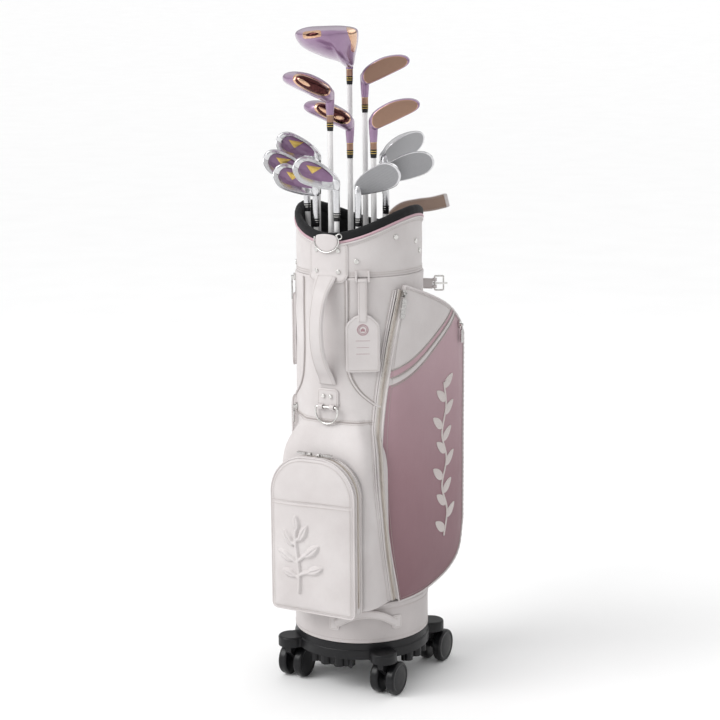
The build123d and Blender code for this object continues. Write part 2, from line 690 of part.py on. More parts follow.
def club_shaft(drop):
    """Tapered shaft, ferrule and grip as three solids, reaching down by drop below the hosel."""
    grip_top = -drop + GRIP_L
    with BuildPart() as shaft:
        with BuildSketch(Plane.XZ):
            with BuildLine():
                Polyline((0, SHAFT_IN_HOSEL), (TIP_R, SHAFT_IN_HOSEL), (TIP_R, -FERRULE_L - 60),
                         (BUTT_R, -drop + 5), (0, -drop + 5), close=True)
            make_face()
        revolve(axis=Axis.Z)
    with BuildPart() as ferrule:
        with BuildSketch(Plane.XZ):
            Polygon((TIP_R, 0), (HOSEL_R, 0), (HOSEL_R - 0.3, -9), (TIP_R + 0.7, -FERRULE_L), (TIP_R, -FERRULE_L),
                    align=None)
        revolve(axis=Axis.Z)
    with BuildPart() as grip:
        with BuildSketch(Plane.XZ):
            Polygon((0, -drop), (GRIP_END_R - 1.5, -drop), (GRIP_END_R, -drop + 2), (GRIP_TOP_R, grip_top),
                    (0, grip_top), align=None)
        revolve(axis=Axis.Z)
        add(shaft.part, mode=Mode.SUBTRACT)
    return Compound(children=[shaft.part, ferrule.part, grip.part])


RIGHT = VIEW_TURN
LEFT = VIEW_TURN + 180
# name: across, depth, ferrule top Z, turn, then the head's sizes
DRIVER = (DRIVER_OUTLINE, 18, 82, 40, (40, 66))
FAIRWAY = (FAIRWAY_OUTLINE, 16, 58, 52, (36, 66))
HYBRID = (FAIRWAY_OUTLINE, 13, 40, 52, (36, 66))
WOODS = {
    "driver": (-15.5, 68, 1133, LEFT, DRIVER),
    "fairway_left": (-50.5, -53, 1055, LEFT, FAIRWAY),
    "fairway_right": (12.5, 70, 1081, RIGHT, FAIRWAY),
    "hybrid_left": (-15.5, 12, 1001, LEFT, HYBRID),
    "hybrid_right": (27, -50, 1006, RIGHT, HYBRID),
}
# the same for irons, with stretch, loft angle, sole width, hollow and rise of the sole
IRONS = {
    "iron_a": (-76, 50, 932, LEFT, (1.0, 21, 17, 3.0, 30)),
    "iron_b": (-95, 5, 905, LEFT, (1.0, 24, 17, 3.0, 30)),
    "iron_c": (-78, -28, 880, LEFT, (1.0, 27, 18, 3.0, 30)),
    "iron_d": (-40, -85, 896, LEFT, (1.0, 31, 18, 3.0, 30)),
    "iron_e": (-1.5, -90, 887, RIGHT - 24, (1.0, 36, 19, 3.0, 30)),
    "wedge_f": (49, 64, 930, RIGHT + 22, (1.18, 44, 19, 0.0, 27)),
    "wedge_g": (50, 25, 897, RIGHT, (1.2, 46, 20, 0.0, 26)),
}
TILTED_FOOT = {"iron_b": (-70, 8)}
heads = {name: wood_head(*row[-1]) for name, row in WOODS.items()}
heads.update({name: iron_head(*row[-1]) for name, row in IRONS.items()})

for name, (across, depth, ferrule_z, turn, sizes) in {**WOODS, **IRONS}.items():
    top = view_point(across, depth, ferrule_z)
    bottom = view_point(*TILTED_FOOT.get(name, (across, depth)), STAND_Z)
    axis = (top - bottom).normalized()
    toe_dir = Vector(cos(radians(turn)), sin(radians(turn)), 0)
    toe_dir = (toe_dir - axis * toe_dir.dot(axis)).normalized()
    place = Plane(origin=top, x_dir=toe_dir, z_dir=axis).location
    save(heads[name].moved(place), f"{name}_head")
    save(club_shaft((top - bottom).length).moved(place), f"{name}_shaft")
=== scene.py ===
import json
import math

import bpy
import bmesh
import numpy as np
from mathutils import Matrix, Vector
from mathutils.bvhtree import BVHTree


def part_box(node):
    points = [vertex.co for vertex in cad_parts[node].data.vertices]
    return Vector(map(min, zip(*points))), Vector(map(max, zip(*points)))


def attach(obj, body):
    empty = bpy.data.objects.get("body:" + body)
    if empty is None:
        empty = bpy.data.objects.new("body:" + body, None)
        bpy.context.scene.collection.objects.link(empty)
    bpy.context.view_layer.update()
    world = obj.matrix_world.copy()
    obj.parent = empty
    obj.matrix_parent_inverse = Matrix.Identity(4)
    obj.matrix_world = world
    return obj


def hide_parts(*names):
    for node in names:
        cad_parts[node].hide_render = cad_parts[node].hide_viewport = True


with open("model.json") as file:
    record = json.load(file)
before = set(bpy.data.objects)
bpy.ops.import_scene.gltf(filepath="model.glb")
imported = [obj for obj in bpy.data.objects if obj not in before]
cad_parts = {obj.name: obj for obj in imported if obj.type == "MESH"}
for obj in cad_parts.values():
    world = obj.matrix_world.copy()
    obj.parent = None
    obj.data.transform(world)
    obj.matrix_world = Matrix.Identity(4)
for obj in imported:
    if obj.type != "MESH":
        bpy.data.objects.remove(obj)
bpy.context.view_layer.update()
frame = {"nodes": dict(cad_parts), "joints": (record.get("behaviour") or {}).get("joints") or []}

# Golf bag on casters with its clubs. Lengths in this script are millimetres until a mesh is made.
MM = 0.001
MERGE = 0.02
SPINE_TURN = -1.0
TAG_TURN = 31.0
VIEW_TURN = 28.6
BODY_R = 119.0
CUFF_R = 115.0
CUP_R = 127.0
SEAM_Z = 518.0
CUFF_FOOT_Z = 783.1
RIM_MEAN = 883.0
RIM_WAVE = 22.0
UP = np.array((0, 0, 1.0))


# ---------------------------------------------------------------- materials
def srgb(r, g, b):
    """Linear colour from 0-255 display values."""
    out = []
    for c in (r / 255, g / 255, b / 255):
        out.append(c / 12.92 if c <= 0.04045 else ((c + 0.055) / 1.055) ** 2.4)
    return (*out, 1.0)


def grey(v, blue=None):
    """Linear grey, cooler when its blue is given."""
    return (v, v, v if blue is None else blue, 1)


def node(tree, kind, **values):
    """A shader node with its plain properties and input values set."""
    made = tree.nodes.new("ShaderNode" + kind)
    for key, value in values.items():
        if key in made.inputs:
            made.inputs[key].default_value = value
        else:
            setattr(made, key, value)
    return made


def new_material(name, **shader):
    """Principled material and its tree, shader and object coordinates."""
    mat = bpy.data.materials.new(name)
    mat.use_nodes = True
    tree = mat.node_tree
    bsdf = tree.nodes["Principled BSDF"]
    for key, value in shader.items():
        bsdf.inputs[key.replace("_", " ")].default_value = value
    where = tree.nodes.new("ShaderNodeTexCoord").outputs["Object"]
    return mat, tree, bsdf, where


def stretched(tree, where, scale):
    """Coordinates scaled by axis."""
    mapping = node(tree, "Mapping")
    mapping.inputs["Scale"].default_value = scale
    tree.links.new(where, mapping.inputs["Vector"])
    return mapping.outputs["Vector"]


def noise_of(tree, where, scale, detail=3.0, rough=0.55):
    """Value of a noise texture."""
    made = node(tree, "TexNoise", Scale=scale, Detail=detail, Roughness=rough)
    tree.links.new(where, made.inputs["Vector"])
    return made.outputs["Fac"]


def ramp(tree, fac, stops, ease="LINEAR"):
    """Colour ramp through (position, colour) stops."""
    made = tree.nodes.new("ShaderNodeValToRGB")
    made.color_ramp.interpolation = ease
    elements = made.color_ramp.elements
    while len(elements) < len(stops):
        elements.new(0.5)
    for element, (at, colour) in zip(elements, stops):
        element.position = at
        element.color = colour
    tree.links.new(fac, made.inputs["Fac"])
    return made.outputs["Color"]


def span(tree, fac, low, high):
    """A 0-1 value mapped to a range."""
    made = node(tree, "MapRange")
    made.inputs["To Min"].default_value = low
    made.inputs["To Max"].default_value = high
    tree.links.new(fac, made.inputs["Value"])
    return made.outputs["Result"]


def maths(tree, operation, a, b=None):
    """Result of a math node on sockets or plain numbers."""
    made = node(tree, "Math", operation=operation)
    for i, x in enumerate((a, b)):
        if x is None:
            continue
        if isinstance(x, (int, float)):
            made.inputs[i].default_value = x
        else:
            tree.links.new(x, made.inputs[i])
    return made.outputs[0]


def blend_colour(tree, fac, a, b, mode="MIX"):
    """Mix of two colours, each a socket or a plain colour."""
    made = node(tree, "Mix", data_type="RGBA", blend_type=mode)
    for socket, x in ((made.inputs[0], fac), (made.inputs[6], a), (made.inputs[7], b)):
        if isinstance(x, (tuple, float, int)):
            socket.default_value = x
        else:
            tree.links.new(x, socket)
    return made.outputs[2]


def bump(tree, bsdf, layers):
    """Chained bumps from (height, strength, distance)."""
    last = None
    for height, strength, distance in layers:
        made = node(tree, "Bump", Strength=strength, Distance=distance)
        tree.links.new(height, made.inputs["Height"])
        if last is not None:
            tree.links.new(last, made.inputs["Normal"])
        last = made.outputs["Normal"]
    tree.links.new(last, bsdf.inputs["Normal"])


def leather(name, light, dark, rough=0.5, grain=620.0, strength=0.32, by_height=None):
    """Soft synthetic leather: pebble grain, fine creases, slight tone changes."""
    mat, tree, bsdf, where = new_material(name, Specular_IOR_Level=0.42)
    pebble = node(tree, "TexVoronoi", feature="SMOOTH_F1", Scale=grain, Smoothness=0.35)
    tree.links.new(where, pebble.inputs["Vector"])
    creases = noise_of(tree, stretched(tree, where, (1.0, 1.0, 0.45)), 70.0, 5.0, 0.6)
    cloud = noise_of(tree, where, 14.0)
    base = ramp(tree, cloud, ((0.3, dark), (0.72, light)))
    if by_height:
        split = node(tree, "SeparateXYZ")
        tree.links.new(where, split.inputs[0])
        tall = maths(tree, "ADD", split.outputs["Z"], maths(tree, "MULTIPLY", cloud, 0.03))
        base = blend_colour(tree, 0.12, ramp(tree, tall, by_height), base)
    pores = ramp(tree, pebble.outputs["Distance"], ((0.0, grey(0.93)), (0.5, grey(1))))
    tree.links.new(blend_colour(tree, 1.0, base, pores, "MULTIPLY"), bsdf.inputs["Base Color"])
    tree.links.new(span(tree, creases, rough - 0.09, rough + 0.12), bsdf.inputs["Roughness"])
    bump(tree, bsdf, ((creases, 0.22, 0.0012), (pebble.outputs["Distance"], strength, 0.00035)))
    return mat


def knit(name, light, dark, period=1.5):
    """Tight padded knit."""
    fuzz = {"Sheen_Weight": 0.08, "Sheen_Roughness": 0.5, "Specular_IOR_Level": 0.25}
    mat, tree, bsdf, where = new_material(name, **fuzz)
    scale = 314.0 / period
    rows = node(tree, "TexWave", bands_direction="Z", Scale=scale, Distortion=1.5)
    columns = node(tree, "TexWave", bands_direction="DIAGONAL", Scale=scale * 0.7, Distortion=1.2)
    for wave in (rows, columns):
        tree.links.new(where, wave.inputs["Vector"])
    weave = maths(tree, "MULTIPLY", rows.outputs["Fac"], columns.outputs["Fac"])
    tree.links.new(ramp(tree, weave, ((0.1, dark), (0.8, light))), bsdf.inputs["Base Color"])
    tree.links.new(span(tree, noise_of(tree, where, 220.0), 0.75, 0.95), bsdf.inputs["Roughness"])
    bump(tree, bsdf, ((weave, 0.55, 0.0006), (noise_of(tree, where, 60.0), 0.25, 0.0015)))
    return mat


def plastic(name, light, dark, rough=0.45, texture=900.0):
    """Moulded plastic with a fine spark texture and rubbed patches."""
    mat, tree, bsdf, where = new_material(name, Specular_IOR_Level=0.3)
    fine = noise_of(tree, where, texture, 2.0)
    wide = noise_of(tree, where, 22.0, 4.0)
    tree.links.new(ramp(tree, wide, ((0.35, dark), (0.75, light))), bsdf.inputs["Base Color"])
    tree.links.new(span(tree, wide, rough - 0.1, rough + 0.15), bsdf.inputs["Roughness"])
    bump(tree, bsdf, ((fine, 0.18, 0.0003), (wide, 0.08, 0.002)))
    return mat


def metal(name, light, dark, rough=0.2, brushed=(1, 1, 1), scratch=240.0, depth=0.08):
    """Metal with fine directional wear."""
    mat, tree, bsdf, where = new_material(name, Metallic=1.0)
    lines = noise_of(tree, stretched(tree, where, brushed), scratch, 4.0, 0.6)
    tree.links.new(ramp(tree, lines, ((0.3, dark), (0.7, light))), bsdf.inputs["Base Color"])
    tree.links.new(span(tree, lines, rough * 0.7, rough * 1.5), bsdf.inputs["Roughness"])
    bump(tree, bsdf, ((lines, depth, 0.0003),))
    return mat


def lacquer(name, light, dark, metallic=0.55, rough=0.3):
    """Pearl lacquer over metal flake."""
    mat, tree, bsdf, where = new_material(name, Metallic=metallic, Coat_Weight=0.8, Coat_Roughness=0.08)
    flake = noise_of(tree, where, 2600.0, 2.0)
    clouds = ramp(tree, noise_of(tree, where, 30.0), ((0.35, dark), (0.7, light)))
    tone = blend_colour(tree, 0.5, clouds, ramp(tree, flake, ((0.3, dark), (0.7, light))))
    tree.links.new(tone, bsdf.inputs["Base Color"])
    tree.links.new(span(tree, flake, rough - 0.06, rough + 0.1), bsdf.inputs["Roughness"])
    bump(tree, bsdf, ((flake, 0.03, 0.0002),))
    return mat


def milled(name, light, dark, rough, per_mm):
    """Satin club face with fine milled lines and wider score lines that follow the sole; the score lines
    carry painted shade.
    """
    mat, tree, bsdf, where = new_material(name, Metallic=0.85)
    depth = node(tree, "Attribute", attribute_name="line_depth").outputs["Fac"]
    full_turn, score_pitch = 6.2832, 4.2
    line = maths(tree, "SINE", maths(tree, "MULTIPLY", depth, full_turn * per_mm))
    wave = maths(tree, "SINE", maths(tree, "MULTIPLY", depth, full_turn / score_pitch))
    score = maths(tree, "GREATER_THAN", wave, 0.86)
    grit = noise_of(tree, where, 1500.0, 2.0)
    tone = ramp(tree, grit, ((0.3, dark), (0.7, light)))
    # score lines darkened in colour: painted shade in the grooves
    shaded = blend_colour(tree, maths(tree, "MULTIPLY", score, 0.14), tone, (0.12, 0.11, 0.11, 1))
    tree.links.new(shaded, bsdf.inputs["Base Color"])
    tree.links.new(span(tree, grit, rough - 0.06, rough + 0.1), bsdf.inputs["Roughness"])
    bump(tree, bsdf, ((line, 0.12, 0.0003), (score, -0.2, 0.0004)))
    return mat


WHITE = leather("white_leather", srgb(208, 203, 202), srgb(198, 192, 191))
WHITE_FINE = leather("white_leather_fine", srgb(210, 205, 204), srgb(201, 195, 194), 0.45, 900.0)
CUP = leather("white_cup", srgb(194, 188, 187), srgb(184, 178, 177), 0.4, 1100.0, strength=0.15)
MAUVE = leather(
    "mauve_leather", srgb(172, 142, 148), srgb(150, 120, 127), rough=0.52,
    by_height=((0.17, srgb(118, 85, 91)), (0.42, srgb(146, 113, 120)), (0.72, srgb(184, 157, 164))),
)
STRIPE = leather("mauve_stripe", srgb(190, 160, 167), srgb(178, 147, 155))
PINK = leather("pink_piping", srgb(205, 172, 181), srgb(190, 156, 166), grain=1200.0)
LINING = knit("black_lining", grey(0.016, 0.017), grey(0.006, 0.0065), 2.2)
PADDING = knit("black_padding", grey(0.02, 0.021), grey(0.007, 0.008), 1.6)
BROWN = leather("brown_lining", srgb(158, 136, 122), srgb(136, 114, 101), grain=1000.0)
TAPE = knit("zip_tape", srgb(222, 217, 212), srgb(198, 192, 186), 1.1)
THREAD = knit("thread", srgb(202, 194, 190), srgb(180, 171, 166), 0.5)
VINE = knit("vine_thread", srgb(226, 218, 216), srgb(204, 195, 192), 0.7)
ROSE_THREAD = knit("rose_thread", srgb(196, 160, 166), srgb(170, 134, 141), 0.5)
# taupe colour for thin strips beside seams and piping: painted shadow of the seam grooves
SEAM_SHADOW = leather("seam_groove", srgb(170, 162, 159), srgb(150, 142, 139), grain=1300.0)
BLACK = plastic("black_plastic", grey(0.010, 0.011), grey(0.005, 0.006), rough=0.38)
WHEEL = plastic("wheel_black", grey(0.010, 0.011), grey(0.005, 0.006), rough=0.3)
RUBBER = plastic("grip_rubber", grey(0.06, 0.062), grey(0.03, 0.031), rough=0.75, texture=1400.0)
FERRULE = plastic("ferrule_black", grey(0.02, 0.022), grey(0.008, 0.009), rough=0.2)
NICKEL = metal("nickel", (0.80, 0.79, 0.77, 1), (0.55, 0.54, 0.52, 1), rough=0.16)
COIL = plastic("zip_coil", srgb(212, 202, 192), srgb(180, 169, 159), rough=0.4)
ZIP = metal("zip_nickel", (0.62, 0.61, 0.6, 1), (0.36, 0.35, 0.34, 1), rough=0.24)
STEEL = metal("satin_steel", (0.80, 0.80, 0.81, 1), (0.60, 0.60, 0.62, 1), rough=0.22, brushed=(1, 1, 6))
ROSE = metal("rose_gold", srgb(236, 200, 170), srgb(206, 158, 128), rough=0.14)
MIRROR = metal("dark_mirror", srgb(96, 58, 56), srgb(52, 26, 30), rough=0.08)
GOLD = metal("gold_plate", srgb(226, 198, 120), srgb(200, 168, 88), rough=0.28)
BRONZE = lacquer("bronze_collar", srgb(176, 136, 110), srgb(126, 92, 78), metallic=0.75)
VIOLET = lacquer("violet_lacquer", srgb(172, 142, 172), srgb(142, 112, 144))
INSERT = lacquer("violet_insert", srgb(140, 106, 140), srgb(112, 80, 113), metallic=0.35, rough=0.4)
PEARL = lacquer("pearl_shaft", srgb(240, 239, 238), srgb(222, 221, 221), metallic=0.05, rough=0.25)
FACE_BROWN = milled("face_brown", srgb(172, 140, 122), srgb(142, 112, 95), 0.42, 1.2)
FACE_GREY = milled("face_grey", srgb(176, 176, 178), srgb(146, 146, 149), 0.4, 1.4)


# ---------------------------------------------------------------- curves and shapes
def unit(v):
    """Vectors brought to length 1."""
    v = np.asarray(v, float)
    return v / np.maximum(np.linalg.norm(v, axis=-1, keepdims=True), 1e-9)


def distance_along(path):
    """Length of a path up to each of its points."""
    return np.r_[0, np.cumsum(np.linalg.norm(np.diff(path, axis=0), axis=1))]


def read_at(at, far, values):
    """Rows of values read at distances along a path."""
    return np.stack([np.interp(at, far, values[:, k]) for k in range(values.shape[1])], 1)


def resample(path, count, closed=False):
    """Points at even spacing along a path."""
    path = np.asarray(path, float)
    far = distance_along(path)
    return read_at(np.linspace(0, far[-1], count, endpoint=not closed), far, path)


def smooth(points, count, closed=False):
    """Smooth curve through points, sampled evenly."""
    p = np.asarray(points, float)
    if closed:
        q = np.vstack([p[-1], p, p[:2]])
    else:
        q = np.vstack([2 * p[0] - p[1], p, 2 * p[-1] - p[-2]])
    t = np.linspace(0, 1, 32, endpoint=False)[:, None]
    dense = []
    for i in range(len(q) - 3):
        a, b, c, d = q[i : i + 4]
        bend = (2 * a - 5 * b + 4 * c - d) * t**2
        dense.append(0.5 * (2 * b + (c - a) * t + bend + (3 * b - a - 3 * c + d) * t**3))
    dense.append(dense[0][:1] if closed else q[-2][None])
    return resample(np.vstack(dense), count, closed)


def rounded(width, height, radius, count=8, foot_radius=None):
    """Closed outline of a rounded rectangle; the lower corners may have a radius of their own."""
    foot = radius if foot_radius is None else foot_radius
    corners = ((1, 1, 0, radius), (-1, 1, 90, radius), (-1, -1, 180, foot), (1, -1, 270, foot))
    out = []
    for cx, cy, start, r in corners:
        for a in np.radians(np.linspace(start, start + 90, count)):
            out.append((cx * (width / 2 - r) + r * math.cos(a), cy * (height / 2 - r) + r * math.sin(a)))
    return np.array(out)


def turn_angles(count, closed=False):
    """Angles of a full turn in radians."""
    return np.linspace(0, 2 * math.pi, count, endpoint=closed)


def circle(radius, count=24):
    """Closed outline of a circle."""
    a = turn_angles(count)
    return np.stack([radius * np.cos(a), radius * np.sin(a)], 1)


def turned_by(degrees, x, y):
    """2-D points turned about their origin."""
    c, s = math.cos(math.radians(degrees)), math.sin(math.radians(degrees))
    return c * x - s * y, s * x + c * y


def upright(outline, y):
    """2-D (x, z) points stood up at one or several y."""
    return np.stack([outline[:, 0], np.broadcast_to(y, len(outline)), outline[:, 1]], 1)


def inset(outline, distance):
    """Closed outline moved inwards."""
    p = np.asarray(outline, float)
    along = unit(np.roll(p, -1, 0) - np.roll(p, 1, 0))
    side = np.stack([-along[:, 1], along[:, 0]], 1)
    area = np.sum(p[:, 0] * np.roll(p[:, 1], -1) - p[:, 1] * np.roll(p[:, 0], -1))
    return p + side * distance * (1 if area > 0 else -1)


def square_to(along, normals):
    """Normals made square to a path, and the sideways directions."""
    out = np.broadcast_to(np.asarray(normals, float), along.shape)
    out = unit(out - np.sum(out * along, 1, keepdims=True) * along)
    return out, np.cross(along, out)


class Shape:
    """Collects grids, sweeps and plates into one mesh."""

    def __init__(self):
        self.clear()

    def clear(self):
        self.points, self.faces, self.slots, self.depth, self.count = [], [], [], [], 0

    def add(self, points, faces, mat=0, depth=None):
        p = np.asarray(points, float).reshape(-1, 3)
        self.points.append(p)
        self.faces.extend([[i + self.count for i in f] for f in faces])
        self.slots.extend([mat] * len(faces) if isinstance(mat, int) else list(mat))
        self.depth.append(np.zeros(len(p)) if depth is None else np.asarray(depth, float).ravel())
        self.count += len(p)

    def grid(self, rings, mat=0, around=False, along=False, capped=False, depth=None):
        """Faces between rows of points; mat is one index or one per row step."""
        rings = np.asarray(rings, float)
        rows, cols = rings.shape[:2]
        row_steps, col_steps = rows if along else rows - 1, cols if around else cols - 1
        i, j = np.meshgrid(np.arange(row_steps), np.arange(col_steps), indexing="ij")
        a, b = i * cols + j, i * cols + (j + 1) % cols
        c, d = ((i + 1) % rows) * cols + (j + 1) % cols, ((i + 1) % rows) * cols + j
        faces = np.stack([a, b, c, d], -1).reshape(-1, 4).tolist()
        if isinstance(mat, int):
            slots = [mat] * len(faces)
        else:
            slots = np.repeat(np.asarray(mat), col_steps).tolist()
        if capped:
            faces.append(list(range(cols))[::-1])
            faces.append(list(range((rows - 1) * cols, rows * cols)))
            slots += [slots[0], slots[-1]]
        self.add(rings, faces, slots, depth)

    def sweep(self, path, normals, section, mat=0, closed=False, scales=None):
        """A closed section of (side, out) points carried along a path."""
        path = np.asarray(path, float)
        if closed:
            along = unit(np.roll(path, -1, 0) - np.roll(path, 1, 0))
        else:
            along = unit(np.gradient(path, axis=0))
        out, side = square_to(along, normals)
        section = np.asarray(section, float)
        if section.ndim == 2:
            section = np.repeat(section[None], len(path), 0)
        if scales is not None:
            section = section * np.asarray(scales, float).reshape(len(path), 1, -1)
        rings = path[:, None] + side[:, None] * section[..., :1] + out[:, None] * section[..., 1:]
        self.grid(rings, mat, around=True, along=closed, capped=not closed)

    def stitches(self, path, normals, pitch=4.4, length=3.0, radius=0.42, mat=0, closed=False):
        """Row of small thread dashes along a path."""
        path = np.asarray(path, float)
        if closed:
            path = np.vstack([path, path[:1]])
            if np.ndim(normals) == 2:
                normals = np.vstack([normals, normals[:1]])
        far = distance_along(path)
        count = max(2, int(far[-1] / pitch))
        at = (np.arange(count) + 0.5) * far[-1] / count
        centre = read_at(at, far, path)
        along = unit(read_at(at + 0.5, far, path) - read_at(at - 0.5, far, path))
        n = np.broadcast_to(np.asarray(normals, float), path.shape)
        out, side = square_to(along, read_at(at, far, n))
        template = []
        for x, s in ((-0.5, 0.45), (-0.36, 0.95), (0.36, 0.95), (0.5, 0.45)):
            for k in range(6):
                a = k * math.pi / 3
                template.append((x * length, s * radius * math.cos(a), s * radius * 0.8 * math.sin(a)))
        template = np.array(template)
        faces = []
        for first in (0, 6, 12):
            for k in range(6):
                after = first + (k + 1) % 6
                faces.append([first + k, after, after + 6, first + k + 6])
        faces += [[5, 4, 3, 2, 1, 0], [18, 19, 20, 21, 22, 23]]
        ahead, beside, above = template[:, :1], template[:, 1:2], template[:, 2:]
        for i in range(count):
            self.add(centre[i] + ahead * along[i] + beside * side[i] + above * out[i], faces, mat)

    def hem(self, put, outline, distance, height, normals, **options):
        """Stitches all round, a distance in from a plate's outline."""
        path = put(*inset(outline, distance).T, np.full(len(outline), height))
        self.stitches(path, normals, mat=1, closed=True, **options)

    def plate(self, outline, put, thick, crown=0.0, mat=0, edge=0.9, back=True, rings=7):
        """Crowned plate: outline in 2-D, put(a, b, height) places its points."""
        p = np.asarray(outline, float)
        c = p.mean(0)
        reach = np.linalg.norm(p - c, axis=1).mean()
        flat = 1 - edge / reach
        steps = [(1.0, 0.0), (1.0, thick * 0.45), (1 - 0.3 * edge / reach, thick * 0.8), (flat, thick)]
        for k in range(1, rings + 1):
            s = flat * (1 - k / rings) + 0.001
            steps.append((s, thick + crown * (1 - s**2)))
        if back:
            steps = [(0.001, 0.0), (0.5, 0.0)] + steps
        made = [put(*(c + (p - c) * s).T, np.full(len(p), h)) for s, h in steps]
        self.grid(np.array(made), mat, around=True)

    def make(self, name, mats, body="bag", nodes=(), slot=None, lines=False):
        """Builds the object, lets it ride on its body and stand for its nodes."""
        mesh = bpy.data.meshes.new(name)
        mesh.from_pydata((np.vstack(self.points) * MM).tolist(), [], self.faces)
        for mat in mats:
            mesh.materials.append(mat)
        mesh.polygons.foreach_set("material_index", self.slots)
        mesh.polygons.foreach_set("use_smooth", [True] * len(mesh.polygons))
        if lines:
            depth = mesh.attributes.new("line_depth", "FLOAT", "POINT")
            depth.data.foreach_set("value", np.concatenate(self.depth))
        work = bmesh.new()
        work.from_mesh(mesh)
        bmesh.ops.remove_doubles(work, verts=work.verts, dist=MERGE * MM)
        bmesh.ops.dissolve_degenerate(work, edges=work.edges, dist=1e-6)
        bmesh.ops.recalc_face_normals(work, faces=work.faces)
        work.to_mesh(mesh)
        work.free()
        obj = bpy.data.objects.new(name, mesh)
        bpy.context.scene.collection.objects.link(obj)
        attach(obj, body)
        if nodes:
            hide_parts(*nodes)
        return obj


def sharpen(obj, angle=38):
    """Hard edges where faces meet at more than an angle."""
    obj.data.set_sharp_from_angle(angle=math.radians(angle))


def polar(turn, radius, z):
    """Points at angles in degrees from -Y towards +X."""
    a = np.radians(turn)
    return np.stack(np.broadcast_arrays(radius * np.sin(a), -radius * np.cos(a), z), -1)


def outwards(turn):
    """Level directions away from the bag's axis."""
    return polar(turn, 1.0, 0.0)


def level(turn):
    """Level directions at an angle: along the surface and straight out of it."""
    c, s = math.cos(math.radians(turn)), math.sin(math.radians(turn))
    return np.array((c, s, 0.0)), np.array((s, -c, 0.0))


def wrapped(turn, radius, z0):
    """put(a, b, h) for plates that follow the round of the bag."""
    return lambda a, b, h: polar(turn + np.degrees(a / radius), radius + h, z0 + b)


def zip_track(shape, path, normals, tape, teeth, width):
    """Zipper: woven tape, two edge cords and a row of teeth."""
    shape.sweep(path, normals, rounded(width, 0.9, 0.4, 3), tape)
    along = unit(np.gradient(path, axis=0))
    n = np.broadcast_to(np.asarray(normals, float), path.shape)
    side = unit(np.cross(along, n))
    for s in (-1, 1):
        shape.sweep(path + side * s * width * 0.5, n, circle(0.9, 8), tape)
    far = distance_along(path)
    tooth_pitch = 2.1
    count = int(far[-1] / tooth_pitch)
    at = (np.arange(count) + 0.5) * far[-1] / count
    c = read_at(at, far, path)
    t, s, o = (unit(read_at(at, far, q)) for q in (along, side, n))
    box = np.array([(x, y, z) for x in (-0.7, 0.7) for y in (-1.9, 1.9) for z in (0.2, 1.5)])
    box[[1, 3, 5, 7], 1] *= 0.75
    faces = [[0, 1, 3, 2], [4, 6, 7, 5], [0, 4, 5, 1], [2, 3, 7, 6], [1, 5, 7, 3], [0, 2, 6, 4]]
    for i in range(count):
        shift = 0.45 if i % 2 else -0.45
        p = c[i] + box[:, :1] * t[i] + (box[:, 1:2] + shift) * s[i] + box[:, 2:] * o[i]
        shape.add(p, faces, teeth)


# ---------------------------------------------------------------- bag skin
FLARE_Z = (175, 400, 440, 468, 495, 518, 532)
FLARE_FRONT = (150, 150, 148, 142, 129, 115, 106)
FLARE_HALF_WIDTH = (98, 98, 97, 93, 80, 64, 50)


def eased(z, heights, values):
    """Values between heights, averaged over seven heights close by."""
    return sum(np.interp(z + d, heights, values) for d in range(-12, 13, 4)) / 7


def skin_radius(turn, z, folds=True):
    """Outer radius of the bag's body at an angle and a height."""
    turn, z = np.broadcast_arrays(np.asarray(turn, float), np.asarray(z, float))
    front, half = eased(z, FLARE_Z, FLARE_FRONT), eased(z, FLARE_Z, FLARE_HALF_WIDTH)
    a = np.radians(turn)
    s, c = np.sin(a), np.cos(a)
    box = ((np.abs(s) / half) ** 9 + (np.maximum(c, 1e-3) / front) ** 9) ** (-1 / 9)
    soft = 4.5
    both = soft * np.log(1.0 + np.exp((np.minimum(box, 2000.0) - BODY_R) / soft)) + BODY_R
    r = np.where((z > FLARE_Z[0] - 0.1) & (c > 0), both, BODY_R)
    if folds:
        sway = 0.55 * np.sin(3 * a + z / 47) + 0.45 * np.sin(7 * a - z / 31 + 1.3)
        sway = sway + 0.35 * np.sin(11 * a + z / 19)
        near = np.minimum(np.abs(z - SEAM_Z), np.abs(z - 783))
        pucker = 0.8 * np.exp(-near / 16) * np.sin(46 * a + 2 * np.sin(9 * a))
        calm = np.clip((z - 178) / 30, 0, 1) * np.clip((781 - z) / 12, 0, 1)
        r = r + (sway * 0.8 + pucker * 0.5 - 0.5) * calm
    return r


def on_skin(turn, z, lift=0.0):
    """Point on the bag's skin, lifted off it, and its outward normal."""
    turn, z = np.broadcast_arrays(np.asarray(turn, float), np.asarray(z, float))
    p = polar(turn, skin_radius(turn, z), z)
    du = polar(turn + 0.7, skin_radius(turn + 0.7, z), z) - polar(turn - 0.7, skin_radius(turn - 0.7, z), z)
    dv = polar(turn, skin_radius(turn, z + 2), z + 2) - polar(turn, skin_radius(turn, z - 2), z - 2)
    n = unit(np.cross(du, dv))
    return p + n * lift, n


def corded(shape, p, n, bed, sunk, cord):
    """A cord along a seam, on a flat bed coloured as the painted shadow of the seam's groove."""
    shape.sweep(p - n * sunk, n, rounded(bed, 0.9, 0.4, 3), 2)
    shape.sweep(p, n, circle(cord, 10), 0)


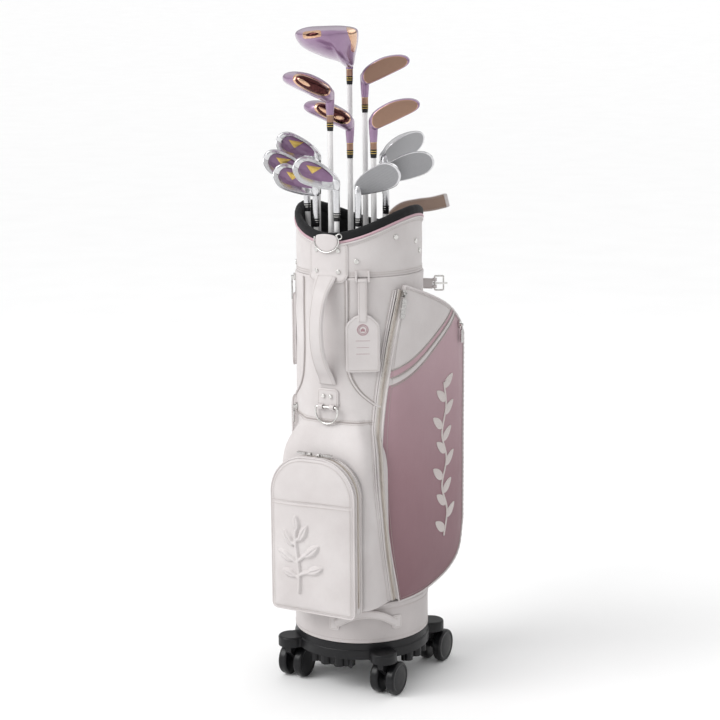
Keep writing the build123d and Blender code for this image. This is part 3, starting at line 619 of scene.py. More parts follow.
skin = Shape()
turns = np.linspace(-180, 180, 300, endpoint=False)
heights = np.r_[176.5, np.arange(180, 776, 3.6), 778.0, 780.5]
rings = [polar(turns, 118.8, 140.0), polar(turns, 118.9, 174.0)]
full = skin_radius(turns, 178.0)
rings.append(polar(turns, np.maximum(full - 5.0, 118.9), 175.0))
rings.append(polar(turns, np.maximum(full - 1.2, 119.0), 175.6))
rings += [polar(turns, skin_radius(turns, z), z) for z in heights]
rings += [polar(turns, 118.0, 782.2), polar(turns, 115.5, 782.9), polar(turns, 112.9, 782.6)]
skin.grid(np.array(rings), 0, around=True)
inside = ((112.9, 782.6), (112.6, 770), (112.6, 500), (112.6, 110), (108, 106.4), (60, 106.2), (0.5, 106.2))
skin.grid(np.array([polar(turns[::3], r, z) for r, z in inside]), 1, around=True)
skin.make("bag_skin", [WHITE, LINING], nodes=("body_shell",), slot="white_leather")

# seams of the body: double seam above the flare, piping on both sides of the spine, piping down the back,
# each on a painted shadow strip
seams = Shape()
for z in (SEAM_Z - 3.5, SEAM_Z + 3.5):
    seams.stitches(*on_skin(np.linspace(-62, 50, 160), z, 0.5), mat=1)
# taupe strip along the double seam: painted shadow of its groove
seams.sweep(*on_skin(np.linspace(-64, 52, 200), SEAM_Z, 0.15), rounded(2.8, 1.6, 0.7, 4), 2)
left = smooth(((-30, 779), (-30, 700), (-30.5, 640), (-34, 596), (-44, 566), (-60, 548), (-70, 541)), 220)
right = smooth(((17.6, 779), (17.6, 700), (17.8, 640), (20, 604), (28, 575), (40, 553), (47, 546)), 220)
for line in (left, right):
    corded(seams, *on_skin(line[:, 0], line[:, 1], 1.1), 6.4, 1.0, 1.9)
    for shift in (-4.6, 4.6):
        seams.stitches(*on_skin(line[:, 0] + np.degrees(shift / BODY_R), line[:, 1], 0.5), mat=1)
back = np.linspace(780, 180, 200)
corded(seams, *on_skin(180.0, back, 0.9), 5.6, 0.8, 1.5)
for shift in (-2.2, 2.2):
    seams.stitches(*on_skin(180.0 + shift, back, 0.5), mat=1)
seams.make("bag_seams", [WHITE_FINE, THREAD, SEAM_SHADOW], slot="white_leather")

# foot cup
cup = Shape()
foot = ((124, 98.6), (126.6, 99.6), (127.2, 102), (126.9, 110), (126.7, 135), (126.8, 160))
lip = ((127.1, 166), (128.6, 169.5), (128.8, 172.5), (127.4, 174.8), (124, 175.2), (119.3, 174.8))
t = np.linspace(-180, 180, 200, endpoint=False)
cup.grid(np.array([polar(t, r, z) for r, z in smooth(foot + lip, 90)]), 0, around=True)
for z in (106.5, 163.0):
    cup.stitches(polar(t, CUP_R + 0.1, z), outwards(t), mat=1, closed=True)
cup.make("foot_cup_cover", [CUP, THREAD], nodes=("foot_cup",), slot="white_leather")


# ---------------------------------------------------------------- cuff and rim
def rim_z(turn):
    """Height of the wavy rim at an angle."""
    a = np.radians(turn - 90)
    return RIM_MEAN + RIM_WAVE * np.cos(2 * a)


cuff = Shape()
t = np.linspace(-180, 180, 240, endpoint=False)
rows = []
for v in np.r_[0, 0.006, 0.02, np.linspace(0.05, 1, 36)]:
    z = CUFF_FOOT_Z + (rim_z(t) - 12.0 - CUFF_FOOT_Z) * v
    bulge = 1.1 * math.sin(math.pi * min(1, v * 1.02)) + (0.9 if v <= 0.03 else 0)
    wave = 0.25 * np.sin(5 * np.radians(t) + 4 * v) * math.sin(math.pi * v)
    rows.append(polar(t, CUFF_R + 0.1 + bulge - (0.9 if v == 0 else 0) + wave, z))
cuff.grid(np.array(rows), 0, around=True)
to_foot = 999
inner = []
for lift, drop in ((0.1, 12), (-5.2, 11.5), (-6.5, 30), (-6.0, 55), (-5.2, to_foot), (0.1, to_foot)):
    inner.append(polar(t, CUFF_R + lift, np.maximum(rim_z(t) - drop, CUFF_FOOT_Z + 0.2)))
cuff.grid(np.array(inner), 1, around=True)
for z in (787.5, 791.5):
    cuff.stitches(polar(t, CUFF_R + 1.35, z), outwards(t), mat=2, closed=True)
cuff.stitches(polar(t, CUFF_R + 0.6, rim_z(t) - 27.0), outwards(t), mat=2, closed=True)
z = np.linspace(794, rim_z(180.0) - 14, 40)
cuff.sweep(polar(180.0, CUFF_R + 1.0, z), outwards(180.0), rounded(5, 1.6, 0.7, 3), 0)
for side in (177.4, 182.6):
    cuff.stitches(polar(side, CUFF_R + 1.5, z), outwards(side), mat=2)
cuff.make("cuff_cover", [WHITE, PADDING, THREAD], nodes=("cuff",), slot="white_leather")

rim = Shape()
t = np.linspace(-180, 180, 260, endpoint=False)
crest = polar(t, CUFF_R - 3.2, rim_z(t) - 8.0)
section = []
for a in turn_angles(22):
    rise = 0.6 if math.sin(a) > 0 else -3.0 * abs(math.sin(a))
    section.append((6.6 * math.cos(a), 8.6 * math.sin(a) + rise))
swell = 1 + 0.02 * np.sin(23 * np.radians(t)) + 0.015 * np.sin(51 * np.radians(t) + 1)
rim.sweep(crest, UP, section, 0, closed=True, scales=np.stack([swell, swell], 1))
pad = rim.make("rim_pad", [PADDING], nodes=("rim_binding",), slot="black_padding")

piping = Shape()
for drop, mat, size in ((16.2, 0, 2.3), (20.6, 1, 1.9)):
    piping.sweep(polar(t, CUFF_R + 1.9, rim_z(t) - drop), outwards(t), circle(size, 12), mat, closed=True)
piping.make("rim_piping_cover", [PINK, WHITE_FINE], nodes=("rim_piping",), slot="pink_piping")

bars = Shape()
low, high = (v * 1000 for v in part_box("divider"))
across, nearer = level(VIEW_TURN)
deep = -nearer
for depth in (-70.5, -10.0):
    half = math.sqrt((CUFF_R - 6.0) ** 2 - depth**2)
    u = np.linspace(-half, half, 40)
    sag = -1.5 * (1 - (u / half) ** 2)
    path = np.outer(u, across) + depth * deep + np.outer(low.z + (high.z - low.z) / 2 + sag, UP)
    bars.sweep(path, UP, rounded(5.6, high.z - low.z, 2.7, 6), 0)
divider = bars.make("divider_bars", [PADDING], nodes=("divider",), slot="black_padding")


# ---------------------------------------------------------------- front pocket
def gap_squared(a, b, points):
    """Squared distance from 2-D places to the nearest of some points."""
    gap = np.full(np.shape(a), 1e9)
    for pa, pb in points:
        gap = np.minimum(gap, (a - pa) ** 2 + (b - pb) ** 2)
    return gap


def leaf_height(x, z, leaves, stems):
    """Soft raised height of leaves and stems at 2-D points."""
    height = np.zeros(x.shape)
    for cx, cz, length, width, tilt in leaves:
        c, s = math.cos(math.radians(tilt)), math.sin(math.radians(tilt))
        u = ((x - cx) * c + (z - cz) * s) / (length / 2)
        v = (-(x - cx) * s + (z - cz) * c) / (width / 2)
        edge = np.clip(1 - u**2, 0, 1)
        body = np.clip(1 - (np.abs(v) / np.maximum(edge, 0.02)) ** 2.5, 0, 1) * (np.abs(u) < 1)
        vein = 1 - 0.45 * np.exp(-(v / 0.16) ** 2)
        height = np.maximum(height, np.sqrt(body) * vein)
    for stem in stems:
        gap = gap_squared(x, z, smooth(stem, 90))
        height = np.maximum(height, 0.9 * np.sqrt(np.clip(1 - gap / STEM_R**2, 0, 1)))
    return height


# sprig on the front pocket: each leaf's x, z, length, width and tilt, then the stems
LEAVES = (
    (-47, 309, 34, 15, 128), (-16, 322, 36, 15, 62), (-54, 276, 36, 15, 150), (2, 290, 38, 16, 40),
    (-46, 244, 32, 14, 165), (8, 255, 36, 15, 22), (-30, 340, 30, 14, 98),
)
STEMS = (
    ((-26, 210), (-24, 240), (-27, 275), (-31, 305), (-31, 326)),
    ((-25, 262), (-36, 270), (-44, 274)),
    ((-26, 270), (-14, 280), (-8, 284)),
    ((-24, 236), (-30, 240), (-36, 243)),
    ((-25, 243), (-14, 248), (-4, 251)),
    ((-30, 300), (-38, 303)),
    ((-30, 308), (-24, 312)),
)
STEM_R = 3.4
ARCH_R = 70.0
FOOT_R = 9.0
low, high = (v * 1000 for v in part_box("front_pocket"))


def arch_sides(z):
    """Left and right x of the arched front at a height."""
    up = np.clip(z - (high.z - ARCH_R), 0, ARCH_R)
    down = np.clip(low.z + FOOT_R - z, 0, FOOT_R)
    cut = ARCH_R - np.sqrt(ARCH_R**2 - up**2) + FOOT_R - np.sqrt(FOOT_R**2 - down**2)
    return low.x + cut, high.x - cut


def arch_outline(count=360):
    """Outline of the arched front, evenly spaced."""
    foot = low.z + FOOT_R * (1 - np.cos(np.linspace(0, math.pi / 2, 10)))
    arch = high.z - ARCH_R + ARCH_R * np.sin(np.linspace(0.02, math.pi / 2, 60))
    z = np.r_[foot, np.linspace(low.z + 12, high.z - ARCH_R, 60), arch]
    xl, xr = arch_sides(z)
    right = np.stack([xr, z], 1)
    left = np.stack([xl, z], 1)[::-1]
    return resample(np.vstack([right, left, right[:1]]), count, True)


front = Shape()
face_y = low.y + 4.0
edge_y = face_y + 3.0
zs = np.linspace(low.z + 0.6, high.z - 0.2, 200)
xl, xr = arch_sides(zs)
X = xl[:, None] + (xr - xl)[:, None] * np.linspace(0, 1, 118)
Z = np.repeat(zs[:, None], 118, 1)
outline = arch_outline()
gap = np.sqrt(gap_squared(X, Z, outline))
crown = 7.0 * (1 - np.exp(-gap / 26)) + 2.2 * (1 - np.exp(-gap / 3.0))
fold_z = 378 + 1.5 * np.sin(X / 40)
crown -= 1.6 * np.exp(-(((Z - fold_z) / 2.2) ** 2)) * (gap > 4)
crown += 0.5 * np.sin(X / 23 + Z / 31) * np.clip(gap / 30, 0, 1)
sprig = leaf_height(X, Z, LEAVES, STEMS)
crown += 4.6 * sprig
wider = leaf_height(X, Z, [(x, z, length + 6, width + 6, tilt) for x, z, length, width, tilt in LEAVES], ())
crown -= 1.7 * np.exp(-((wider - 0.25) / 0.3) ** 2) * (sprig <= 0.02)
front.grid(np.stack([X, edge_y - crown, Z], -1), 0)
BAG_SIDE_Y = -150.4
side_rows = (
    (edge_y, 0.4), (face_y + 5.5, -0.6), (face_y + 9, -1.2), (face_y + 12.5, -0.8), (face_y + 15, 0.8),
    (face_y + 25, 0.8), (face_y + 27.5, -0.8), (face_y + 31, -0.9), (BAG_SIDE_Y, -0.2),
)
front.grid(np.array([upright(inset(outline, d + 0.4), y) for y, d in side_rows]), 0, around=True)
side_normal = upright(unit(inset(outline, -2.0) - outline), 0.0)
for y, distance, size in ((3.6, -0.9, 1.7), (12.5, -0.6, 1.5), (28.5, -0.6, 1.5)):
    front.sweep(upright(inset(outline, distance), face_y + y), side_normal, circle(size, 10), 0, closed=True)
keep = outline[:, 1] > low.z + 14
start = int(np.argmax(~keep))
order = np.r_[start:len(outline), 0:start]
order = order[keep[order]]
zip_track(front, upright(inset(outline, 0.9), face_y + 20)[order], side_normal[order], 1, 2, 9.0)
for y in (face_y + 8.5, face_y + 32.5):
    front.stitches(upright(inset(outline, -0.9), y), side_normal, mat=3, closed=True)
x = np.linspace(low.x + 4, high.x - 4, 90)
for z in (374.2, 381.8):
    line = np.stack([x, z + 1.5 * np.sin(x / 40)], 1)
    front.stitches(upright(line, edge_y - 8.9), (0, -1, 0), mat=3)
front.stitches(upright(inset(outline, 5.2), edge_y - 3.6), (0, -1, 0), mat=3, closed=True)
mats = [WHITE, TAPE, COIL, THREAD]
pocket = front.make("front_pocket_cover", mats, nodes=("front_pocket",), slot="white_leather")

# ---------------------------------------------------------------- garment pocket
low, high = (v * 1000 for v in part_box("garment_pocket"))
PLAN = smooth(((84, -90), (113, -60), (133, -15), (144, 45), (149, 100), (147, 139)), 200)
NEAR = smooth(((-61, 174), (-76, 300), (-84, 470), (-70, 640), (-47, 765)), 260)
BASE_EDGE = smooth(((-61, 174), (0, 184), (75, 205), (122, 236), (140, 285)), 160)
TOP_EDGE = smooth(((-47, 765), (60, 722), (115, 685), (140, 655)), 160)
FAR = np.stack([np.full(120, 140.0), np.linspace(285, 655, 120)], 1)
EDGES = np.vstack([NEAR, TOP_EDGE, FAR[::-1], BASE_EDGE[::-1]])


def edge_gap(y, z):
    """Distance from the garment pocket's outline."""
    return np.sqrt(gap_squared(y, z, EDGES[::3]))


def garment_skin(y, z, lift=0.0):
    """Point and normal on the garment pocket's outer face."""
    y, z = np.broadcast_arrays(np.asarray(y, float), np.asarray(z, float))
    gap = edge_gap(y, z)
    x = np.interp(y, PLAN[:, 1], PLAN[:, 0]) + 3.6 * (1 - np.exp(-gap / 22)) + 0.8 * (1 - np.exp(-gap / 3))
    x = x + (0.7 * np.sin(y / 27 + z / 60) + 0.5 * np.sin(z / 33 - y / 41)) * np.clip(gap / 30, 0, 1) - 1.2
    slope = np.gradient(PLAN[:, 0], PLAN[:, 1])
    n = unit(np.stack([np.ones(y.shape), -np.interp(y, PLAN[:, 1], slope), np.zeros(y.shape)], -1))
    return np.stack([x, y, z], -1) + n * lift, n


def near_y(z):
    """Y of the garment pocket's near edge at a height."""
    return np.interp(z, NEAR[:, 1], NEAR[:, 0])


def stripe(y, rise):
    """Height of a stripe's edge; both stripes sweep up from the near edge to the top edge."""
    t = np.clip((y + 74) / 166, 0, 1.3)
    return 583 + 106 * t**1.12 + rise * (1 - 0.25 * t)


def band(rise, count=130):
    """A stripe's edge from the near edge to the top edge, and the place where they meet."""
    y = np.linspace(-72, 140, 900)
    z = stripe(y, rise)
    top = np.interp(y, TOP_EDGE[:, 0], TOP_EDGE[:, 1])
    start = np.argmin(np.abs(y - near_y(z)))
    y, z, top = y[start:], z[start:], top[start:]
    end = int(np.argmax(z >= top))
    return resample(np.stack([y[:end], z[:end]], 1), count), y[end - 1]


STRIPE_TALL = 14.0
garment = Shape()
line0, meet0 = band(0.0)
line1, meet1 = band(STRIPE_TALL)
line2, meet2 = band(2 * STRIPE_TALL)


def top_part(y_from, y_to, count):
    """A stretch of the pocket's top edge."""
    y = np.linspace(y_from, y_to, count)
    return np.stack([y, np.interp(y, TOP_EDGE[:, 0], TOP_EDGE[:, 1])], 1)


def near_part(z_from, z_to, count):
    """A stretch of the pocket's near edge."""
    z = np.linspace(z_from, z_to, count)
    return np.stack([near_y(z), z], 1)


def coons(bottom, top, left, right):
    """Rows of 2-D points inside four edges that meet at the corners."""
    u = np.linspace(0, 1, len(bottom))[None, :, None]
    v = np.linspace(0, 1, len(left))[:, None, None]
    low_corners = (1 - u) * (1 - v) * bottom[0] + u * (1 - v) * bottom[-1]
    corners = low_corners + (1 - u) * v * top[0] + u * v * top[-1]
    return (1 - v) * bottom[None] + v * top[None] + (1 - u) * left[:, None] + u * right[:, None] - corners


def panel(bottom, top, left, mat, right=None):
    """A crowned panel between edges; without a right edge it runs out to a point at the top edge."""
    if right is None:
        right = np.repeat(top[-1:], len(left), 0)
    rows = coons(bottom, top, left, right)
    garment.grid(garment_skin(rows[..., 0], rows[..., 1])[0], mat)


def up_to(line, y_from, y_to, count):
    """A stripe's edge continued along the top edge."""
    return resample(np.vstack([line, top_part(y_from, y_to, count)[1:]]), 130)


start0, start1, start2 = (line[0][1] for line in (line0, line1, line2))
lower_top = up_to(line0, meet0, 140, 40)
panel(resample(BASE_EDGE, 130), lower_top, near_part(174, start0, 150), 0, resample(FAR, 150))
panel(line0, up_to(line1, meet1, meet0, 6), near_part(start0, start1, 9), 1)
panel(line1, up_to(line2, meet2, meet1, 6), near_part(start1, start2, 9), 2)
panel(line2, top_part(-47, meet2, 130), near_part(start2, 765, 80), 1)

# gusset from the outer face back to the bag
loop = resample(np.vstack([EDGES, EDGES[:1]]), 420, True)
edge, edge_n = garment_skin(loop[:, 0], loop[:, 1])
turn_of = np.degrees(np.arctan2(edge[:, 0], -edge[:, 1]))
reach = np.hypot(edge[:, 0], edge[:, 1])
ground = np.minimum(skin_radius(turn_of, loop[:, 1], False) - 1.5, reach - 1.0)
middle = np.array((30.0, 470.0))
toward = unit(upright(loop - middle, 0.0)[:, [1, 0, 2]])
rows = []
for s in (0.0, 0.06, 0.13, 0.3, 0.5, 0.7, 0.9, 1.0):
    p = polar(turn_of, reach + (ground - reach) * s, loop[:, 1])
    puff = 1.6 * math.sin(math.pi * s)
    rows.append(p + toward * puff * (reach - ground > 8)[:, None])
garment.grid(np.array(rows), 1, around=True)
garment.sweep(edge + edge_n * 0.6, edge_n, circle(1.9, 10), 1, closed=True)
inner_loop = loop + unit(np.array([[45.0, 470.0]]) - loop) * 6.0
garment.stitches(*garment_skin(inner_loop[:, 0], inner_loop[:, 1], 0.4), mat=3, closed=True)
for line, shift in ((line0, -2.4), (line1, 2.2), (line2, 2.4), (line1, -2.2)):
    p, n = garment_skin(line[:, 0], line[:, 1] + shift, 0.35)
    garment.stitches(p, n, mat=3, pitch=4.0, length=2.6)
# taupe strips along the stripe edges: painted shadow of the seams
for line in (line0, line1, line2):
    garment.sweep(*garment_skin(line[:, 0], line[:, 1], 0.25), rounded(1.9, 1.3, 0.5, 3), 4)
mats = [MAUVE, WHITE, STRIPE, THREAD, SEAM_SHADOW]
cover = garment.make("garment_pocket_cover", mats, nodes=("garment_pocket",), slot="mauve_leather")

# double zipper along the pocket's near edge
near_zip = Shape()
z = np.linspace(178, 758, 320)
at, n = garment_skin(near_y(z), z)
edge_turn = np.degrees(np.arctan2(at[:, 0], -at[:, 1]))
edge_r = np.hypot(at[:, 0], at[:, 1])


def beside_edge(gap, sunk, lift):
    """Line on the bag a gap away from the pocket's edge, no deeper than some way below the edge."""
    turn = edge_turn - np.degrees(gap / 120)
    return polar(turn, np.maximum(skin_radius(turn, z, False), edge_r - sunk) + lift, z)


zip_track(near_zip, beside_edge(7.5, 4.5, 1.4), unit(outwards(edge_turn) * 0.6 + n * 0.4), 0, 1, 9.0)
for gap, lift, size in ((1.0, 1.2, 1.7), (14.0, 0.6, 1.8), (17.8, 0.2, 1.5)):
    near_zip.sweep(beside_edge(gap, 3.5 + gap * 0.32, lift), outwards(edge_turn), circle(size, 10), 2)
near_zip.stitches(beside_edge(22.0, 1000.0, 0.5), outwards(edge_turn), mat=3)
near_zip.make("garment_zip_track", [TAPE, COIL, WHITE_FINE, THREAD], slot="white_leather")

# embroidered vine on the mauve panel
motif = Shape()
stem = smooth(((52, 276), (62, 325), (46, 375), (62, 425), (46, 475), (60, 525), (54, 572)), 120)
motif.sweep(*garment_skin(stem[:, 0], stem[:, 1], 0.7), rounded(4.6, 1.6, 0.7, 4), 0)
LEAF_WIDTH = 17


def on_garment(a, b, h):
    """Points just above the garment pocket's face."""
    q, m = garment_skin(a, b)
    return q + m * (h + 0.1)[:, None]


for i, s in enumerate(np.linspace(0.04, 0.97, 12)):
    cy, cz = stem[int(s * 119)]
    tip = 38 if i % 2 else 142
    u = turn_angles(36)
    long = (0.5 + 0.5 * np.cos(u)) * (40 - 8 * abs(s - 0.5))
    wide = LEAF_WIDTH / 2 * np.sin(u) * (np.abs(np.sin(u)) ** 0.25) * (1 - 0.25 * np.cos(u))
    y, z = turned_by(tip, long, wide)
    motif.plate(np.stack([cy + y, cz + z], 1), on_garment, 0.9, 0.5, 0, edge=0.8)
motif.make("garment_vine", [VINE], slot="white_leather")


# ---------------------------------------------------------------- flat pockets
flats = Shape()


def slim_pocket(t0, t1, z0, z1, lift, radius, crown):
    """Slim pouch sewn on the round of the bag, with a corded and stitched edge."""
    mid_t, mid_z = (t0 + t1) / 2, (z0 + z1) / 2
    corners = rounded(math.radians(t1 - t0) * BODY_R, z1 - z0, radius, 12)
    outline = resample(np.vstack([corners, corners[:1]]), 260, True)

    def put(a, b, h):
        turn = mid_t + np.degrees(a / BODY_R)
        base = np.where(h > lift * 0.4, np.maximum(skin_radius(turn, mid_z + b, False), BODY_R), BODY_R)
        return polar(turn, base - 0.6 + h, mid_z + b)

    def ring(distance, height):
        """Line round the pouch, a distance in from its outline."""
        return put(*inset(outline, distance).T, np.full(len(outline), height))

    flats.plate(outline, put, lift, crown, 0, edge=2.5, rings=26, back=False)
    out = outwards(mid_t + np.degrees(outline[:, 0] / BODY_R))
    # taupe strip inside the cord: painted shadow along the pocket's edge
    flats.sweep(ring(2.6, lift * 0.95), out, rounded(2.0, 1.4, 0.6, 3), 3, closed=True)
    flats.sweep(ring(0.8, lift * 0.82), out, circle(1.6, 10), 1, closed=True)
    flats.stitches(ring(5.5, lift + 0.5), out, mat=2, closed=True)


slim_pocket(-108, -62, 600, 735, 7.5, 18, 1.4)
slim_pocket(-118, -60, 182, 540, 10.5, 22, 2.2)
mats = [WHITE, WHITE_FINE, THREAD, SEAM_SHADOW]
made = flats.make("slim_pockets", mats, nodes=("flat_pockets",), slot="white_leather")


# ---------------------------------------------------------------- handle, patch, ring tab, tag
def tab_outline(width, tall, top_radius, foot_radius):
    """Evenly spaced outline of a tab."""
    corners = rounded(width, tall, top_radius, 12, foot_radius)
    return resample(np.vstack([corners, corners[:1]]), 150, True)


patch = Shape()
outline = tab_outline(79, 72, 9, 16)


def patch_put(a, b, h):
    """The patch lies on the cuff and steps out over the body's edge below it."""
    z = 809 + b
    step = np.clip((789 - z) / 8, 0, 1)
    radius = CUFF_R + 1.1 + 4.4 * step * step * (3 - 2 * step) + h
    return polar(SPINE_TURN + np.degrees(a / CUFF_R), radius, z)


patch.plate(outline, patch_put, 1.7, 0.4, 0, edge=1.2)
patch.hem(patch_put, outline, 3.4, 1.95, outwards(SPINE_TURN + np.degrees(outline[:, 0] / CUFF_R)))
a = turn_angles(120)
cap = np.stack([22 * np.cos(a), 19 * np.sin(a)], 1)
cap[:, 1] = np.where(cap[:, 1] > 9, 9 + 0.35 * (cap[:, 1] - 9), cap[:, 1])


def cap_put(a, b, h):
    """The round cap tab lies on the patch below and wraps over the rim above."""
    up = 848 + b
    lean = np.clip((up - 846) / 17, 0, 1.4)
    over = 4.6 + 1.6 * np.clip(lean, 0, 1) - 7.0 * np.clip(lean - 0.7, 0, 1) ** 1.5
    return polar(SPINE_TURN + np.degrees(a / CUFF_R), CUFF_R + over + h, up)


patch.plate(cap, cap_put, 1.8, 0.5, 0, edge=1.0)
a = np.radians(np.linspace(160, 395, 70))
wire = cap_put(24.0 * np.cos(a), 20.5 * np.sin(a), np.full(70, 1.6))
patch.sweep(wire, outwards(SPINE_TURN + np.degrees(24.0 * np.cos(a) / CUFF_R)), circle(1.3, 10), 2)
a = turn_angles(40)
eye = cap_put(25.5 + 4.6 * np.cos(a), 9.0 + 4.6 * np.sin(a), np.full(40, 2.4))
patch.sweep(eye, outwards(SPINE_TURN + 12), circle(1.0, 8), 2, closed=True)
mats = [WHITE_FINE, THREAD, NICKEL]
patch.make("handle_patch_cover", mats, nodes=("handle_patch",), slot="white_leather")

grip = Shape()
upper_arc = ((120.5, 784), (130, 773), (143, 756), (155, 725), (159.5, 690))
lower_arc = ((155, 655), (142, 625), (127, 602), (120.6, 588))
rz = smooth(upper_arc + lower_arc, 110)
side, spine_out = level(SPINE_TURN)
path = np.outer(rz[:, 0], spine_out) + np.outer(rz[:, 1], UP)
along = unit(np.gradient(path, axis=0))
normal = unit(np.cross(side, along))
normal = np.where(normal[:, 1:2] > 0, -normal, normal)
s = np.linspace(0, 1, 110)
wide = 1 + 0.22 * np.exp(-((s - 0.02) / 0.12) ** 2) - 0.16 * np.sin(math.pi * s)
wide = wide + 0.05 * np.exp(-((s - 1) / 0.1) ** 2)
thick = 0.35 + 0.65 * np.clip(np.sin(math.pi * np.clip(s, 0.02, 0.98)) ** 0.5, 0, 1)
grip.sweep(path, normal, rounded(33, 9.5, 4.2, 8), 0, scales=np.stack([wide, thick], 1))
for sgn in (-1, 1):
    edge = path + np.outer(wide * 12.0 * sgn, side) + normal * (thick * 4.9)[:, None]
    grip.stitches(edge, normal, mat=1)
    edge = path + np.outer(wide * 16.3 * sgn, side)
    grip.sweep(edge, np.broadcast_to(side * sgn, edge.shape), circle(1.0, 8), 0)
handle = grip.make("grab_handle_strap", [WHITE_FINE, THREAD], nodes=("grab_handle",), slot="white_leather")

tab = Shape()
outline = tab_outline(44, 36, 8, 8)
put = wrapped(SPINE_TURN, BODY_R + 0.3, 561)
tab.plate(outline, put, 2.4, 0.4, 0, edge=1.0)
tab.hem(put, outline, 3.2, 2.75, outwards(SPINE_TURN + np.degrees(outline[:, 0] / BODY_R)))
u = turn_angles(26, True)
for off in (-11.0, 11.0):
    ring_loop = put(np.full(26, off), 4.3 * np.sin(u) - 16, 5.7 + 4.3 * np.cos(u) * 0.95)
    tab.sweep(ring_loop, side, rounded(1.5, 9, 0.7, 3), 0)
tab.make("ring_tab_cover", [WHITE_FINE, THREAD], nodes=("ring_tab",), slot="white_leather")

tag = Shape()
TAG_HINGE_R, TAG_HINGE_Z = 123.0, 778
tag_side, out = level(TAG_TURN)


def put(a, b, h):
    """The tag hangs flat; heights are measured from its hinge."""
    return out * TAG_HINGE_R + UP * TAG_HINGE_Z + np.outer(a, tag_side) + np.outer(b, UP) + np.outer(h, out)


outline = []
corners = ((13, -62, 5), (-13, -62, 5), (-31, -78, 8), (-31, -166, 7), (31, -166, 7), (31, -78, 8))
pts = np.array([(x, z) for x, z, _ in corners], float)
for i, (x, z, r) in enumerate(corners):
    before, after = pts[i - 1] - pts[i], pts[(i + 1) % 6] - pts[i]
    p0, p2 = pts[i] + unit(before) * r, pts[i] + unit(after) * r
    for w in np.linspace(0, 1, 8):
        outline.append((1 - w) ** 2 * p0 + 2 * w * (1 - w) * pts[i] + w**2 * p2)
outline = resample(np.array(outline + outline[:1]), 220, True)
tag.plate(outline, put, 2.9, 0.25, 0, edge=1.0)
fine_stitch = {"pitch": 3.6, "length": 2.4}
tag.hem(put, outline, 4.0, 3.0, out, **fine_stitch)
BAND_WIDTH = 16.4
zs = np.linspace(-74, -2.5, 40)
swell = 1.4 * np.exp(-((zs + 68) / 9) ** 2)
tag.sweep(put(np.zeros(40), zs, 1.6 + swell), out, rounded(BAND_WIDTH, 2.0, 0.9, 4), 0)
for x in (-6.2, 6.2):
    tag.stitches(put(np.full(40, x), zs, 2.75 + swell), out, mat=1, **fine_stitch)
u = np.radians(np.linspace(200, 520, 30))
fold = put(np.zeros(30), 3.1 * np.sin(u), 3.1 * np.cos(u))
tag.sweep(fold, tag_side, rounded(1.2, BAND_WIDTH, 0.5, 3), 0)
u = turn_angles(60, True)
for r, w in ((9.5, 0.7), (7.0, 0.5)):
    tag.sweep(put(r * np.cos(u), -88 + r * np.sin(u), np.full(60, 3.25)), out, circle(w, 6), 2)
u = turn_angles(24)
for length, angle in ((9, 90), (8, 40), (8, 140), (7, 0), (7, 180)):
    x, z = turned_by(angle, (0.5 + 0.5 * np.cos(u)) * length * 0.62, 1.5 * np.sin(u))
    tag.plate(np.stack([x, -90 + z], 1), put, 3.35, 0.2, 2, edge=0.3, back=False, rings=2)
for length, z in ((26, -108), (22, -120), (24, -132)):
    row = put(np.linspace(-length / 2, length / 2, 30), np.full(30, z), np.full(30, 3.1))
    tag.stitches(row, out, mat=2, pitch=3.2, length=2.4, radius=0.5)
mats = [WHITE_FINE, THREAD, ROSE_THREAD]
tag.make("name_tag_cover", mats, body="tag", nodes=("name_tag",), slot="white_leather")

# ---------------------------------------------------------------- carry loop and strap ends
loop_shape = Shape()
rising = ((6, 1.6, 136), (10, 3.0, 140), (20, 10.5, 154), (32, 13.4, 160))
falling = ((44, 10.5, 154), (54, 3.0, 140), (58, 1.6, 136))
line = smooth([polar(t, CUP_R + lift, z) for t, lift, z in rising + falling], 90)
n = unit(line * np.array((1, 1, 0.0)))
loop_shape.sweep(line, n, rounded(15, 3.4, 1.5, 5), 0)
sideways = np.cross(unit(np.gradient(line, axis=0)), n)
for s in (-5.3, 5.3):
    loop_shape.stitches(line + sideways * s + n * 1.75, n, mat=1)
outline = tab_outline(20, 26, 5, 5)
for t in (5.0, 59.0):
    put = wrapped(t, CUP_R + 0.1, 136)
    loop_shape.plate(outline, put, 2.0, 0.3, 0, edge=0.8)
    loop_shape.hem(put, outline, 2.8, 2.2, outwards(t))
loop_shape.make("carry_loop_band", [WHITE_FINE, THREAD], nodes=("carry_loop",), slot="white_leather")


def view_point(u, depth, z):
    """Points given across the front view, into it and up."""
    u, depth, z = np.broadcast_arrays(np.asarray(u, float), float(depth), np.asarray(z, float))
    return u[..., None] * across + depth[..., None] * deep + z[..., None] * UP


strap = Shape()
uz = smooth(((57, 838), (64, 861), (84, 879), (112, 885.5), (142, 889.5), (171, 896.5)), 90)
line = view_point(uz[:, 0], 126.5, uz[:, 1])
rise = unit(np.cross(unit(np.gradient(line, axis=0)), deep))
width = np.ones(90)
width[-3:] = (0.97, 0.93, 0.86)
sizes = np.stack([width, np.ones(90)], 1)
strap.sweep(line + deep * 1.2, nearer, rounded(27.5, 4.4, 2.0, 6), 0, scales=sizes)
strap.sweep(line - deep * 1.4, nearer, rounded(25.0, 2.8, 1.3, 6), 1, scales=sizes)
strap.sweep(line[-5:] - deep * 2.5, nearer, rounded(25.6, 1.2, 0.5, 6), 0, scales=sizes[-5:])
for s in (-10.6, 10.6):
    strap.stitches(line + rise * (width * s)[:, None] - deep * 2.9, nearer, mat=2)
    strap.stitches(line + rise * (width * s)[:, None] + deep * 3.5, deep, mat=2)
anchor = view_point(56.0, 111.5, 836.0)


def anchor_put(a, b, h):
    """The anchor lies between the bag's back and the strap's root."""
    return anchor + np.outer(a, across) + np.outer(b, UP) + np.outer(h - 3.0, deep)


